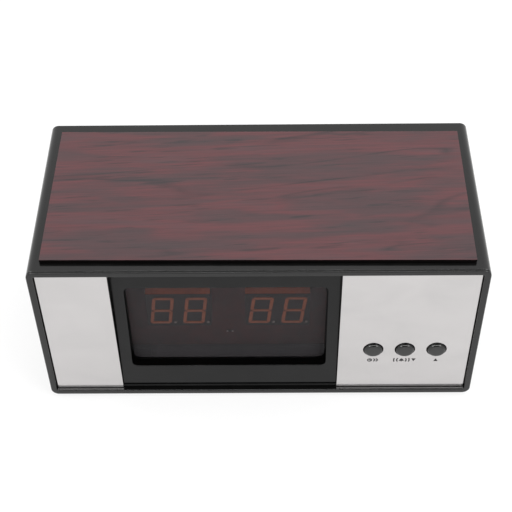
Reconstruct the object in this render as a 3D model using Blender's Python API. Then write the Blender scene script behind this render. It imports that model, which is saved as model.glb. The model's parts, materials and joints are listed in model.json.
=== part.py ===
"""Desk alarm clock with two double-digit LED modules behind a smoked window.

Metres, +Z up. The clock stands on the plane Z = 0 on its rubber feet, its front looks along -Y and the
origin is the middle of its footprint. Depths are measured back from the bezel's front face, heights up
from the underside of the case.
"""
import math

import bmesh
import bpy
from mathutils import Matrix, Vector

# Clearances
part_gap = 0.0003
overrun = 0.001

# Case sleeve
case_width = 0.165
case_depth = 0.0795
case_height = 0.0715
case_wall = 0.0022
case_corner_radius = 0.003
case_rear_edge_radius = 0.0005
rear_post_size = 0.0085
rear_post_length = 0.014
lug_length = 0.010
lug_height = 0.008
lug_thickness = 0.0025

# Front bezel
rim_width = 0.0024
rim_depth = 0.0008
rim_outer_radius = 0.00055
rim_inner_radius = 0.0005
rim_inner_corner_radius = 0.0008
lap_wall = 0.0011
lap_depth = 0.005
web_thickness = 0.002
web_ledge = 0.0005
bezel_boss_radius = 0.003
bezel_boss_length = 0.004
bezel_boss_inset_x = 0.0085
bezel_boss_inset_z = 0.009

# Face plates
plate_recess = 0.0014
plate_thickness = 0.001
left_plate_width = 0.0259
right_plate_width = 0.0497

# Display surround and window
surround_top_depth = 0.006
surround_bottom_depth = 0.0017
surround_back_depth = 0.0086
surround_lower_edge_radius = 0.002
opening_side_margin = 0.00435
opening_bottom_margin = 0.0118
opening_top_margin = 0.011
opening_corner_radius = 0.002
window_depth = 0.0065
window_thickness = 0.0018
window_lap = 0.0015
wing_width = 0.005
wing_end_margin = 0.001

# Wood-grain top panel
panel_width = 0.1552
panel_depth = 0.0686
panel_thickness = 0.0013
panel_front_margin = 0.0045
panel_corner_radius = 0.0003
panel_turn = math.radians(-0.34)

# LED modules and their digits
led_face_depth = 0.0103
led_module_width = 0.0244
led_module_height = 0.0182
led_module_depth = 0.008
led_module_spacing = 0.0374
led_rise = 0.0028
led_shift = 0.0002
digit_pitch = 0.01245
digit_height = 0.0145
digit_width = 0.0081
digit_slant = math.radians(7)
segment_width = 0.0013
segment_gap = 0.0003
segment_relief = 0.0003
point_radius = 0.0005
point_offset = 0.0047

# Main board
board_thickness = 0.0016
board_bottom_margin = 0.00495
board_top_margin = 0.00415
board_post_margin = 0.0048
board_post_radius = 0.003
board_post_inset_z = 0.005
indicator_size = 0.0008
indicator_pitch = 0.0021
indicator_drop = 0.0221
chip_width = 0.0068
chip_height = 0.0035
clock_chip_length = 0.025
driver_chip_length = 0.0195
crystal_radius = 0.0015
crystal_length = 0.008
capacitor_radius = 0.0032
capacitor_length = 0.0085
buzzer_radius = 0.006
buzzer_height = 0.0095
buzzer_port_radius = 0.001
buzzer_port_depth = 0.003
connector_width = 0.006
connector_height = 0.005
connector_depth = 0.006
clock_chip_place_shares = (0.5, 0.5)
driver_chip_place_shares = (0.34, 0.82)
crystal_place_shares = (0.72, 0.5)
capacitor_place_shares = (0.62, 0.78)
buzzer_place_shares = (0.16, 0.68)
power_plug_place_shares = (0.2, 0.16)
cell_plug_place_shares = (0.84, 0.3)

# Buttons, their switches and their board
key_names = ("set", "alarm", "up")
button_height = 0.02585
button_pitch = 0.012
button_shift = 0.00035
button_hole_radius = 0.00385
cap_clearance = 0.0004
cap_stand = 0.0011
cap_edge_radius = 0.0005
cap_flange_radius = 0.00475
cap_flange_thickness = 0.001
stem_radius = 0.0015
stem_length = 0.0019
switch_size = 0.006
switch_depth = 0.0035
switch_floor = 0.0008
plunger_radius = 0.00175
plunger_length = 0.0022
plunger_stand = 0.001
button_board_width = 0.0368
button_board_height = 0.014
button_post_radius = 0.0022
button_post_rise = 0.00435
header_width = 0.0025
header_height = 0.0125

# Screws
case_screw_head_radius = 0.0027
case_screw_head_height = 0.0016
case_screw_shank_radius = 0.0014
case_screw_length = 0.008
small_screw_head_radius = 0.0017
small_screw_head_height = 0.0012
small_screw_shank_radius = 0.0009
small_screw_length = 0.005

# Back cover
cover_recess = 0.0008
cover_thickness = 0.0026
cover_corner_radius = 0.0008
counterbore_depth = 0.0018
sound_slot_width = 0.0012
sound_slot_length = 0.012
sound_slot_pitch = 0.003
sound_slot_count = 5
sound_slot_place_shares = (0.24, 0.68)

# Power socket
socket_place_shares = (0.2, 0.24)
socket_width = 0.009
socket_height = 0.011
socket_depth = 0.0135
socket_nose_radius = 0.004
socket_bore_radius = 0.0028
socket_bore_depth = 0.0095
socket_pin_radius = 0.001
socket_pin_length = 0.0085
cradle_wall = 0.0016
cradle_depth = 0.010

# Coin cell, its holder and the twist-off cap
cap_place_shares = (0.72, 0.5)
cell_radius = 0.010
cell_thickness = 0.0032
battery_cap_radius = 0.013
battery_cap_edge_radius = 0.0004
lug_reach = 0.0016
lug_width = 0.005
lug_depth = 0.0012
coin_slot_width = 0.0018
coin_slot_length = 0.016
coin_slot_depth = 0.0014
cap_notch_turn = math.radians(-45)
holder_wall = 0.002
holder_floor = 0.002
contact_thickness = 0.0006
contact_radius = 0.007
side_contact_width = 0.004

# Rubber feet
foot_radius = 0.005
foot_thickness = 0.0018
foot_pocket_depth = 0.0008
foot_edge_radius = 0.0004
foot_inset_x = 0.014
foot_inset_y = 0.012

# Leads
lead_radius = 0.0011
lead_sag = 0.004
lead_point_count = 14

# Smoothness of round shapes
corner_steps = 4
edge_steps = 3
round_steps = 20
fine_round_steps = 28

# Places worked out from the sizes above
case_bottom = foot_thickness + part_gap - foot_pocket_depth
case_top = case_bottom + case_height
side_x = case_width / 2
inner_x = side_x - case_wall
plate_seat_depth = plate_recess + plate_thickness + part_gap
web_back_depth = plate_seat_depth + web_thickness
sleeve_front_depth = rim_depth + part_gap
plate_outer_x = side_x - rim_width - part_gap
surround_left = -plate_outer_x + left_plate_width + part_gap
surround_right = plate_outer_x - right_plate_width - part_gap
surround_bottom = case_bottom + rim_width + web_ledge + part_gap
surround_top = case_top - rim_width - web_ledge - part_gap
opening_left = surround_left + opening_side_margin
opening_right = surround_right - opening_side_margin
opening_bottom = surround_bottom + opening_bottom_margin
opening_top = surround_top - opening_top_margin
opening_mid_x = (opening_left + opening_right) / 2
opening_mid_z = (opening_bottom + opening_top) / 2
led_mid_x = opening_mid_x + led_shift
led_mid_z = opening_mid_z + led_rise
board_front_depth = led_face_depth + led_module_depth + part_gap
board_back_depth = board_front_depth + board_thickness
post_left_x = surround_left - wing_width - part_gap - board_post_radius
post_right_x = surround_right + wing_width + part_gap + board_post_radius
board_left = post_left_x - board_post_margin
board_right = post_right_x + board_post_margin
board_bottom = surround_bottom + board_bottom_margin
board_top = surround_top - board_top_margin
post_heights = (board_bottom + board_post_inset_z, board_top - board_post_inset_z)
parts_depth = board_back_depth + part_gap
button_mid_x = plate_outer_x - right_plate_width / 2 + button_shift
button_z = case_bottom + button_height
button_places = [button_mid_x + step * button_pitch for step in (-1, 0, 1)]
cap_radius = button_hole_radius - cap_clearance
cap_face_depth = plate_recess - cap_stand
flange_depth = web_back_depth + part_gap
stem_depth = flange_depth + cap_flange_thickness
plunger_depth = stem_depth + stem_length + part_gap
switch_front_depth = plunger_depth + plunger_stand
switch_back_depth = switch_front_depth + switch_depth
button_board_depth = switch_back_depth + part_gap
button_board_back = button_board_depth + board_thickness
button_board_left = button_mid_x - button_board_width / 2
button_post_places = [button_mid_x - button_pitch / 2, button_mid_x + button_pitch / 2]
wing_screw_places = [surround_left - wing_width / 2, surround_right + wing_width / 2]
wing_screw_heights = [(surround_bottom + surround_top) / 2]
boss_x = side_x - bezel_boss_inset_x
boss_heights = (case_bottom + bezel_boss_inset_z, case_top - bezel_boss_inset_z)
boss_end_depth = web_back_depth + bezel_boss_length
lug_front_depth = boss_end_depth + part_gap
lug_back_depth = lug_front_depth + lug_thickness
cover_outer_depth = case_depth - cover_recess
cover_inner_depth = cover_outer_depth - cover_thickness
post_end_depth = cover_inner_depth - part_gap
rear_post_x = inner_x - rear_post_size / 2
rear_post_heights = (case_bottom + case_wall + rear_post_size / 2, case_top - case_wall - rear_post_size / 2)
counterbore_floor = cover_outer_depth - counterbore_depth
cover_left = -inner_x + part_gap
cover_right = inner_x - part_gap
cover_bottom = case_bottom + case_wall + part_gap
cover_top = case_top - case_wall - part_gap
case_pilot_radius = case_screw_shank_radius + part_gap
small_pilot_radius = small_screw_shank_radius + part_gap


def place_on_cover(shares):
    """The x and z of a point given as shares of the back cover's width and height."""
    return (cover_left + shares[0] * (cover_right - cover_left),
            cover_bottom + shares[1] * (cover_top - cover_bottom))


def place_on_board(shares):
    """The x and z of a point given as shares of the main board's width and height."""
    return (board_left + shares[0] * (board_right - board_left),
            board_bottom + shares[1] * (board_top - board_bottom))


def y_at(depth):
    """World Y of a depth behind the bezel's front face."""
    return depth - case_depth / 2


def clear_scene():
    for item in list(bpy.data.objects):
        bpy.data.objects.remove(item, do_unlink=True)


def finish(name, colour, roughness, metallic=0.0):
    """A plain finish: colour as red, green and blue shares, with its roughness and metal share."""
    made = bpy.data.materials.new(name)
    made.use_nodes = True
    shader = made.node_tree.nodes["Principled BSDF"]
    shader.inputs["Base Color"].default_value = (*colour, 1.0)
    shader.inputs["Roughness"].default_value = roughness
    shader.inputs["Metallic"].default_value = metallic
    made.diffuse_color = (*colour, 1.0)
    return made


def quarter_turn(steps):
    """The angles that divide a right angle into equal steps, both ends included."""
    return [math.pi / 2 * step / steps for step in range(steps + 1)]


def rectangle(left, right, bottom, top):
    return [(left, bottom), (right, bottom), (right, top), (left, top)]


def rounded_rectangle(left, right, bottom, top, radius, steps=corner_steps):
    """An outline that runs anticlockwise from its lower right corner."""
    centres = ((right - radius, bottom + radius, -90), (right - radius, top - radius, 0),
               (left + radius, top - radius, 90), (left + radius, bottom + radius, 180))
    outline = []
    for across, up, start in centres:
        for turn in quarter_turn(steps):
            angle = math.radians(start) + turn
            outline.append((across + radius * math.cos(angle), up + radius * math.sin(angle)))
    return outline


def case_outline(inset, radius):
    """The case's front outline, drawn in from the outside by an inset."""
    return rounded_rectangle(-side_x + inset, side_x - inset, case_bottom + inset, case_top - inset, radius)


def loft(rings):
    """A closed solid through rings that have the same number of points."""
    shape = bmesh.new()
    rows = [[shape.verts.new(point) for point in ring] for ring in rings]
    for lower, upper in zip(rows, rows[1:]):
        for index in range(len(lower)):
            after = (index + 1) % len(lower)
            shape.faces.new((lower[index], lower[after], upper[after], upper[index]))
    shape.faces.new(rows[0])
    shape.faces.new(rows[-1])
    bmesh.ops.recalc_face_normals(shape, faces=shape.faces)
    return shape


def front_ring(outline, depth):
    return [(across, y_at(depth), up) for across, up in outline]


def bar(outline, front, back):
    """A solid whose outline faces the front, between two depths."""
    return loft([front_ring(outline, front), front_ring(outline, back)])


def block(left, right, front, back, bottom, top):
    return bar(rectangle(left, right, bottom, top), front, back)


def slab(outline, low, high):
    """A solid whose outline faces up, between two heights."""
    return loft([[(x, y, low) for x, y in outline], [(x, y, high) for x, y in outline]])


def circle(across, up, radius, steps=round_steps):
    return [(across + radius * math.cos(2 * math.pi * step / steps),
             up + radius * math.sin(2 * math.pi * step / steps)) for step in range(steps)]


def turned(profile, across, up, steps=round_steps):
    """A solid turned about an axis that runs front to back. The profile holds (radius, depth) pairs and
    starts and ends on the axis."""
    shape = bmesh.new()
    rows = []
    for radius, depth in profile:
        if radius == 0:
            rows.append([shape.verts.new((across, y_at(depth), up))])
        else:
            rows.append([shape.verts.new((x, y_at(depth), z)) for x, z in circle(across, up, radius, steps)])
    for lower, upper in zip(rows, rows[1:]):
        for index in range(steps):
            after = (index + 1) % steps
            corners = [lower[index % len(lower)], lower[after % len(lower)],
                       upper[after % len(upper)], upper[index % len(upper)]]
            shape.faces.new(list(dict.fromkeys(corners)))
    bmesh.ops.recalc_face_normals(shape, faces=shape.faces)
    return shape


def peg(across, up, radius, front, back, steps=round_steps):
    """A plain cylinder between two depths."""
    return bar(circle(across, up, radius, steps), front, back)


def copies(name, item, places):
    """Objects that share one mesh. The first copy is the given object, and the rest stand at the places."""
    item.name = f"{name}_1"
    for number, place in enumerate(places[1:], 2):
        copy = bpy.data.objects.new(f"{name}_{number}", item.data)
        copy.location = place
        bpy.context.scene.collection.objects.link(copy)


def temporary(shape):
    mesh = bpy.data.meshes.new("temporary")
    shape.to_mesh(mesh)
    shape.free()
    item = bpy.data.objects.new("temporary", mesh)
    bpy.context.scene.collection.objects.link(item)
    return item


def combined(base, others, operation):
    """The base after each of the other solids is added to it or cut out of it."""
    target = temporary(base)
    tools = [temporary(other) for other in others]
    for tool in tools:
        modifier = target.modifiers.new("combine", "BOOLEAN")
        modifier.operation = operation
        modifier.solver = "EXACT"
        modifier.object = tool
    evaluated = target.evaluated_get(bpy.context.evaluated_depsgraph_get())
    result = bmesh.new()
    result.from_mesh(evaluated.to_mesh())
    evaluated.to_mesh_clear()
    for item in [target, *tools]:
        mesh = item.data
        bpy.data.objects.remove(item, do_unlink=True)
        bpy.data.meshes.remove(mesh)
    return result


def fused(base, others):
    return combined(base, others, "UNION")


def cut(base, others):
    return combined(base, others, "DIFFERENCE")


def node(name, shape, look, origin=(0, 0, 0), parent=None):
    """Link a sub-part under its name, with its origin at the given world place."""
    bmesh.ops.translate(shape, verts=shape.verts, vec=-Vector(origin))
    mesh = bpy.data.meshes.new(name)
    shape.to_mesh(mesh)
    shape.free()
    mesh.materials.append(look)
    mesh.shade_smooth()
    mesh.set_sharp_from_angle(angle=math.radians(35))
    item = bpy.data.objects.new(name, mesh)
    bpy.context.scene.collection.objects.link(item)
    item.parent = parent
    if parent is None:
        item.location = origin
    return item


def pivot(name, place):
    """An empty on a joint's axis, which carries the pieces that move together."""
    item = bpy.data.objects.new(name, None)
    item.empty_display_size = case_corner_radius
    item.location = place
    bpy.context.scene.collection.objects.link(item)
    return item


def screw(across, up, seat, head_radius, head_height, shank_radius, length):
    """A pan head screw driven in from behind. Its head bears on a face at the seat depth."""
    under = seat + part_gap
    top = under + head_height
    profile = [(0, under - length), (shank_radius / 2, under - length),
               (shank_radius, under - length + shank_radius), (shank_radius, under),
               (head_radius, under), (head_radius, under + head_height / 2), (head_radius * 3 / 4, top),
               (head_radius * 2 / 5, top), (0, top - head_height / 2)]
    return turned(profile, across, up, round_steps // 2)


def case_screw(across, up, seat):
    return screw(across, up, seat, case_screw_head_radius, case_screw_head_height,
                 case_screw_shank_radius, case_screw_length)


def small_screw(across, up, seat):
    return screw(across, up, seat, small_screw_head_radius, small_screw_head_height,
                 small_screw_shank_radius, small_screw_length)


def case_pilot(across, up, face):
    """The blind hole for a case screw whose head bears at the face depth."""
    return peg(across, up, case_pilot_radius, face - case_screw_length, face + overrun, round_steps // 2)


def grid(across_places, heights):
    return [(across, up) for across in across_places for up in heights]


def rear_post_places():
    return grid((-rear_post_x, rear_post_x), rear_post_heights)


def boss_places():
    return grid((-boss_x, boss_x), boss_heights)


def board_post_places():
    return grid((post_left_x, post_right_x), post_heights)


def button_board_post_places():
    return grid(button_post_places, (button_z + button_post_rise,))


def wing_screw_points():
    return grid(wing_screw_places, wing_screw_heights)


def foot_places():
    across = side_x - foot_inset_x
    along = case_depth / 2 - foot_inset_y
    return [(x, y) for x in (-across, across) for y in (-along, along)]


def case_sleeve(look):
    """The one-piece case: four walls open at the front and the back, with posts and lugs for screws."""
    rings = [front_ring(case_outline(0, case_corner_radius), sleeve_front_depth)]
    for angle in quarter_turn(edge_steps):
        inset = case_rear_edge_radius * (1 - math.cos(angle))
        depth = case_depth - case_rear_edge_radius * (1 - math.sin(angle))
        rings.append(front_ring(case_outline(inset, case_corner_radius - inset), depth))
    inner = case_outline(case_wall, max(case_corner_radius - case_wall, part_gap))
    lap = case_outline(lap_wall, case_corner_radius - lap_wall)
    shell = cut(loft(rings), [bar(inner, sleeve_front_depth - overrun, case_depth + overrun),
                              bar(lap, sleeve_front_depth - overrun, sleeve_front_depth + lap_depth)])
    wall_middle = side_x - case_wall / 2
    additions = []
    for side in (-1, 1):
        for up, edge in zip(rear_post_heights, (case_bottom + case_wall / 2, case_top - case_wall / 2)):
            near = up + rear_post_size / 2 if edge < up else up - rear_post_size / 2
            left, right = sorted((side * wall_middle, side * (inner_x - rear_post_size)))
            low, high = sorted((edge, near))
            additions.append(block(left, right, post_end_depth - rear_post_length, post_end_depth, low, high))
        for up in boss_heights:
            left, right = sorted((side * wall_middle, side * (inner_x - lug_length)))
            additions.append(block(left, right, lug_front_depth, lug_back_depth,
                                   up - lug_height / 2, up + lug_height / 2))
    body = fused(shell, additions)
    holes = [case_pilot(x, z, counterbore_floor) for x, z in rear_post_places()]
    holes += [peg(x, z, case_pilot_radius, lug_front_depth - overrun, lug_back_depth + overrun,
                  round_steps // 2) for x, z in boss_places()]
    for x, y in foot_places():
        outline = [(x + across, y + along) for across, along in circle(0, 0, foot_radius + part_gap)]
        holes.append(slab(outline, case_bottom - overrun, case_bottom + foot_pocket_depth))
    node("case_sleeve", cut(body, holes), look)


def bezel_front_rings():
    """Rings of the bezel's outside, from the rounded front edge to the end of its skirt."""
    rings = []
    for angle in quarter_turn(corner_steps):
        inset = rim_outer_radius * (1 - math.sin(angle))
        rings.append(front_ring(case_outline(inset, case_corner_radius - inset),
                                rim_outer_radius * (1 - math.cos(angle))))
    rings.append(front_ring(case_outline(0, case_corner_radius), rim_depth))
    skirt_inset = lap_wall + part_gap
    skirt = case_outline(skirt_inset, case_corner_radius - skirt_inset)
    rings.append(front_ring(skirt, rim_depth))
    rings.append(front_ring(skirt, rim_depth + lap_depth))
    return rings


def tray_cutter():
    """The shallow tray that the face plates lie in, flared at the front by the rim's inner rounding."""
    mouth = rim_width - rim_inner_radius
    rings = [front_ring(case_outline(mouth, rim_inner_corner_radius + rim_inner_radius), -overrun)]
    for angle in quarter_turn(edge_steps):
        inset = mouth + rim_inner_radius * math.sin(angle)
        depth = rim_inner_radius * (1 - math.cos(angle))
        rings.append(front_ring(case_outline(inset, rim_inner_corner_radius + rim_width - inset), depth))
    rings.append(front_ring(case_outline(rim_width, rim_inner_corner_radius), plate_seat_depth))
    return loft(rings)


def front_bezel(look):
    """The front frame: a rounded rim, a tray and web behind the face plates, and screw posts."""
    skirt_end = rim_depth + lap_depth
    behind_web = bar(case_outline(rim_width, rim_inner_corner_radius), web_back_depth, skirt_end + overrun)
    aperture = block(surround_left - part_gap, surround_right + part_gap, plate_seat_depth - overrun / 2,
                     web_back_depth + overrun, case_bottom + rim_width + web_ledge,
                     case_top - rim_width - web_ledge)
    frame = cut(loft(bezel_front_rings()), [tray_cutter(), behind_web, aperture])
    web_middle = web_back_depth - web_thickness / 2
    posts = [peg(x, z, bezel_boss_radius, web_middle, boss_end_depth) for x, z in boss_places()]
    posts += [peg(x, z, board_post_radius, web_middle, board_front_depth - part_gap)
              for x, z in board_post_places()]
    posts += [peg(x, z, button_post_radius, web_middle, button_board_depth - part_gap)
              for x, z in button_board_post_places()]
    body = fused(frame, posts)
    holes = [peg(x, button_z, button_hole_radius, plate_seat_depth - overrun, web_back_depth + overrun)
             for x in button_places]
    holes += [case_pilot(x, z, lug_back_depth) for x, z in boss_places()]
    holes += [case_pilot(x, z, board_back_depth) for x, z in board_post_places()]
    holes += [peg(x, z, small_pilot_radius, button_board_back - small_screw_length - part_gap,
                  button_board_depth + overrun, round_steps // 2) for x, z in button_board_post_places()]
    holes += [peg(x, z, small_pilot_radius, plate_seat_depth - overrun, web_back_depth + overrun,
                  round_steps // 2) for x, z in wing_screw_points()]
    node("front_bezel", cut(body, holes), look)


def face_plates(look):
    """The two bright plates: a narrow one on the left and a wide one with three button holes."""
    low = case_bottom + rim_width + part_gap
    high = case_top - rim_width - part_gap
    back = plate_recess + plate_thickness
    left = block(-plate_outer_x, -plate_outer_x + left_plate_width, plate_recess, back, low, high)
    node("left_face_plate", left, look)
    right = block(plate_outer_x - right_plate_width, plate_outer_x, plate_recess, back, low, high)
    holes = [peg(x, button_z, button_hole_radius, plate_recess - overrun, back + overrun, fine_round_steps)
             for x in button_places]
    node("right_face_plate", cut(right, holes), look)


def surround_wings():
    """A wing on each side, behind the bezel's web. Its thicker part stops just short of the surround."""
    wings = []
    for side, edge in ((-1, surround_left), (1, surround_right)):
        outer = edge + side * wing_width
        for inner, front in ((edge + side * part_gap, web_back_depth + part_gap),
                             (edge - side * overrun, surround_top_depth + part_gap)):
            left, right = sorted((inner, outer))
            wings.append(block(left, right, front, surround_back_depth,
                               surround_bottom + wing_end_margin, surround_top - wing_end_margin))
    return wings


def display_surround(look):
    """The black surround. Its face slopes back towards the top, and its lower edge is rounded."""
    slope = math.atan2(surround_top_depth - surround_bottom_depth, surround_top - surround_bottom)
    radius = surround_lower_edge_radius
    run = radius * math.tan((math.pi / 2 + slope) / 2)
    centre_depth = surround_bottom_depth + run
    profile = [(surround_back_depth, surround_bottom), (surround_back_depth, surround_top),
               (surround_top_depth, surround_top)]
    for step in range(corner_steps + 1):
        angle = (math.pi / 2 + slope) * step / corner_steps - slope
        profile.append((centre_depth - radius * math.cos(angle),
                        surround_bottom + radius - radius * math.sin(angle)))
    rings = [[(x, y_at(depth), z) for depth, z in profile] for x in (surround_left, surround_right)]
    body = fused(loft(rings), surround_wings())
    opening = rounded_rectangle(opening_left, opening_right, opening_bottom, opening_top, opening_corner_radius)
    seat = rounded_rectangle(opening_left - window_lap, opening_right + window_lap,
                             opening_bottom - window_lap, opening_top + window_lap,
                             opening_corner_radius + window_lap)
    holes = [bar(opening, -overrun, surround_back_depth + overrun),
             bar(seat, window_depth - part_gap, surround_back_depth + overrun)]
    holes += [peg(x, z, small_pilot_radius, web_back_depth - overrun, surround_back_depth + overrun,
                  round_steps // 2) for x, z in wing_screw_points()]
    node("display_surround", cut(body, holes), look)


def display_window(look):
    """The smoked window, bonded into the rebate at the back of the surround."""
    reach = window_lap - part_gap
    outline = rounded_rectangle(opening_left - reach, opening_right + reach, opening_bottom - reach,
                                opening_top + reach, opening_corner_radius + reach)
    node("display_window", bar(outline, window_depth, window_depth + window_thickness), look)


def wood_top_panel(look):
    """The film-faced panel on the case, bonded on by hand and so a third of a degree askew."""
    outline = rounded_rectangle(-panel_width / 2, panel_width / 2, -panel_depth / 2, panel_depth / 2,
                                panel_corner_radius, 2)
    low = case_top + part_gap
    shape = slab(outline, low, low + panel_thickness)
    centre = Vector((0, y_at(panel_front_margin + panel_depth / 2), 0))
    turn = Matrix.Translation(centre) @ Matrix.Rotation(panel_turn, 4, "Z")
    bmesh.ops.transform(shape, matrix=turn, verts=shape.verts)
    node("wood_top_panel", shape, look)


def segment(mid_x, mid_z, length, lying):
    """One bar of a digit, with pointed ends, drawn around its middle."""
    half = length / 2
    point = segment_width / 2
    outline = [(-half, 0), (-half + point, -point), (half - point, -point), (half, 0),
               (half - point, point), (-half + point, point)]
    if not lying:
        outline = [(-up, across) for across, up in outline]
    return [(mid_x + across, mid_z + up) for across, up in outline]


def digit_outlines():
    """The seven bars of an upright digit around its centre."""
    across = digit_width / 2 - segment_width / 2
    up = digit_height / 2 - segment_width / 2
    long_bar = up - segment_gap * 2
    wide_bar = 2 * across - segment_gap * 2
    bars = [segment(0, height, wide_bar, True) for height in (-up, 0, up)]
    for side in (-across, across):
        for height in (-up / 2, up / 2):
            bars.append(segment(side, height, long_bar, False))
    return bars


def digit_reliefs(mid_x):
    """Both digits and their points, leaning to the right, as low reliefs on the face of one module."""
    front = led_face_depth - segment_relief
    back = led_face_depth + segment_relief
    shapes = []
    for side in (-1, 1):
        centre = mid_x + side * digit_pitch / 2
        for outline in digit_outlines():
            leaning = [(centre + across + up * math.tan(digit_slant), led_mid_z + up) for across, up in outline]
            shapes.append(bar(leaning, front, back))
        low = led_mid_z - digit_height / 2 + point_radius
        shapes.append(peg(centre + point_offset, low, point_radius, front, back, round_steps // 2))
    return shapes


def led_modules(look):
    """The two display modules, each a moulded block with two seven-segment digits on its face."""
    low = led_mid_z - led_module_height / 2
    for name, side in (("left", -1), ("right", 1)):
        mid_x = led_mid_x + side * led_module_spacing / 2
        body = block(mid_x - led_module_width / 2, mid_x + led_module_width / 2, led_face_depth,
                     led_face_depth + led_module_depth, low, low + led_module_height)
        node(f"{name}_led_module", fused(body, digit_reliefs(mid_x)), look)


def indicator_led(look):
    """The tiny double indicator under the digits: two lenses on one base, on the front of the main board."""
    back = board_front_depth - part_gap
    low = led_mid_z - indicator_drop
    half = (indicator_pitch + indicator_size) / 2
    base = block(led_mid_x - half, led_mid_x + half, back - indicator_size / 2, back, low, low + indicator_size)
    lenses = [peg(led_mid_x + side * indicator_pitch / 2, low + indicator_size / 2, indicator_size * 2 / 5,
                  back - indicator_size, back - indicator_size / 4, round_steps // 2) for side in (-1, 1)]
    node("indicator_led", fused(base, lenses), look)


def main_board(look):
    sheet = block(board_left, board_right, board_front_depth, board_back_depth, board_bottom, board_top)
    holes = [peg(x, z, case_pilot_radius, board_front_depth - overrun, board_back_depth + overrun,
                 round_steps // 2) for x, z in board_post_places()]
    node("main_board", cut(sheet, holes), look)


def board_chip(name, shares, length, look):
    x, z = place_on_board(shares)
    chip = block(x - length / 2, x + length / 2, parts_depth, parts_depth + chip_height,
                 z - chip_width / 2, z + chip_width / 2)
    node(name, chip, look)


def board_parts(black, silver, sleeve_blue, cream):
    """What is soldered to the back of the main board."""
    board_chip("clock_chip", clock_chip_place_shares, clock_chip_length, black)
    board_chip("driver_chip", driver_chip_place_shares, driver_chip_length, black)
    x, z = place_on_board(crystal_place_shares)
    can = block(x - crystal_radius, x + crystal_radius, parts_depth, parts_depth + crystal_radius * 2,
                z - crystal_length / 2, z + crystal_length / 2)
    node("crystal", can, silver)
    x, z = place_on_board(capacitor_place_shares)
    top = parts_depth + capacitor_length
    edge = capacitor_radius / 8
    can = turned([(0, parts_depth), (capacitor_radius, parts_depth), (capacitor_radius, top - edge),
                  (capacitor_radius - edge, top), (0, top)], x, z)
    node("supply_capacitor", can, sleeve_blue)
    x, z = place_on_board(buzzer_place_shares)
    top = parts_depth + buzzer_height
    port_floor = top - buzzer_port_depth
    sounder = turned([(0, parts_depth), (buzzer_radius, parts_depth), (buzzer_radius, top),
                      (buzzer_port_radius, top), (buzzer_port_radius, port_floor), (0, port_floor)], x, z)
    node("buzzer", sounder, black)
    for name, shares in (("power_plug", power_plug_place_shares), ("cell_plug", cell_plug_place_shares)):
        x, z = place_on_board(shares)
        plug = block(x - connector_width / 2, x + connector_width / 2, parts_depth,
                     parts_depth + connector_depth, z - connector_height / 2, z + connector_height / 2)
        node(name, plug, cream)


def switch_keys(cap_look, plunger_look):
    """The three buttons. Each cap and the switch plunger behind it move together along Y."""
    for name, x in zip(key_names, button_places):
        carrier = pivot(f"{name}_key_axis", (x, y_at(cap_face_depth), button_z))
        profile = [(0, cap_face_depth), (cap_radius - cap_edge_radius, cap_face_depth)]
        for angle in quarter_turn(edge_steps)[1:]:
            profile.append((cap_radius - cap_edge_radius * (1 - math.sin(angle)),
                            cap_face_depth + cap_edge_radius * (1 - math.cos(angle))))
        profile += [(cap_radius, flange_depth), (cap_flange_radius, flange_depth),
                    (cap_flange_radius, stem_depth), (stem_radius, stem_depth),
                    (stem_radius, stem_depth + stem_length), (0, stem_depth + stem_length)]
        node(f"{name}_button", turned(profile, x, button_z, fine_round_steps), cap_look,
             carrier.location, carrier)
        plunger = peg(x, button_z, plunger_radius, plunger_depth, plunger_depth + plunger_length)
        node(f"{name}_plunger", plunger, plunger_look, carrier.location, carrier)


def button_switches(look):
    """The fixed bodies of the three switches, each with a well for its plunger."""
    half = switch_size / 2
    well_end = switch_back_depth - switch_floor
    for name, x in zip(key_names, button_places):
        body = block(x - half, x + half, switch_front_depth, switch_back_depth, button_z - half, button_z + half)
        well = peg(x, button_z, plunger_radius + part_gap, switch_front_depth - overrun, well_end)
        node(f"{name}_switch", cut(body, [well]), look)


def button_board(look, header_look):
    """The small board behind the buttons, and the pin header that joins it to the main board."""
    sheet = block(button_board_left, button_board_left + button_board_width, button_board_depth,
                  button_board_back, button_z - button_board_height / 2, button_z + button_board_height / 2)
    holes = [peg(x, z, small_pilot_radius, button_board_depth - overrun, button_board_back + overrun,
                 round_steps // 2) for x, z in button_board_post_places()]
    node("button_board", cut(sheet, holes), look)
    mid_x = (button_board_left + board_right) / 2
    header = block(mid_x - header_width / 2, mid_x + header_width / 2, button_board_back + part_gap,
                   board_front_depth - part_gap, button_z - header_height / 2, button_z + header_height / 2)
    node("board_header", header, header_look)


def screw_set(name, make, places, seat, look):
    """Identical screws, each its own object with its origin on the seat that its head bears on."""
    spots = [(x, y_at(seat), z) for x, z in places]
    first = node(name, make(*places[0], seat), look, spots[0])
    copies(name, first, spots)


def screws(look):
    """Every screw is driven in from behind."""
    screw_set("bezel_screw", case_screw, boss_places(), lug_back_depth, look)
    screw_set("board_screw", case_screw, board_post_places(), board_back_depth, look)
    screw_set("back_cover_screw", case_screw, rear_post_places(), counterbore_floor, look)
    screw_set("surround_screw", small_screw, wing_screw_points(), surround_back_depth, look)
    screw_set("button_board_screw", small_screw, button_board_post_places(), button_board_back, look)


def cap_lug(across, up, turn, front, back, reach, width):
    """A bar across the cap's middle, turned about the cap's axis."""
    corners = [(-reach, -width / 2), (reach, -width / 2), (reach, width / 2), (-reach, width / 2)]
    outline = [(across + x * math.cos(turn) - z * math.sin(turn), up + x * math.sin(turn) + z * math.cos(turn))
               for x, z in corners]
    return bar(outline, front, back)


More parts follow.
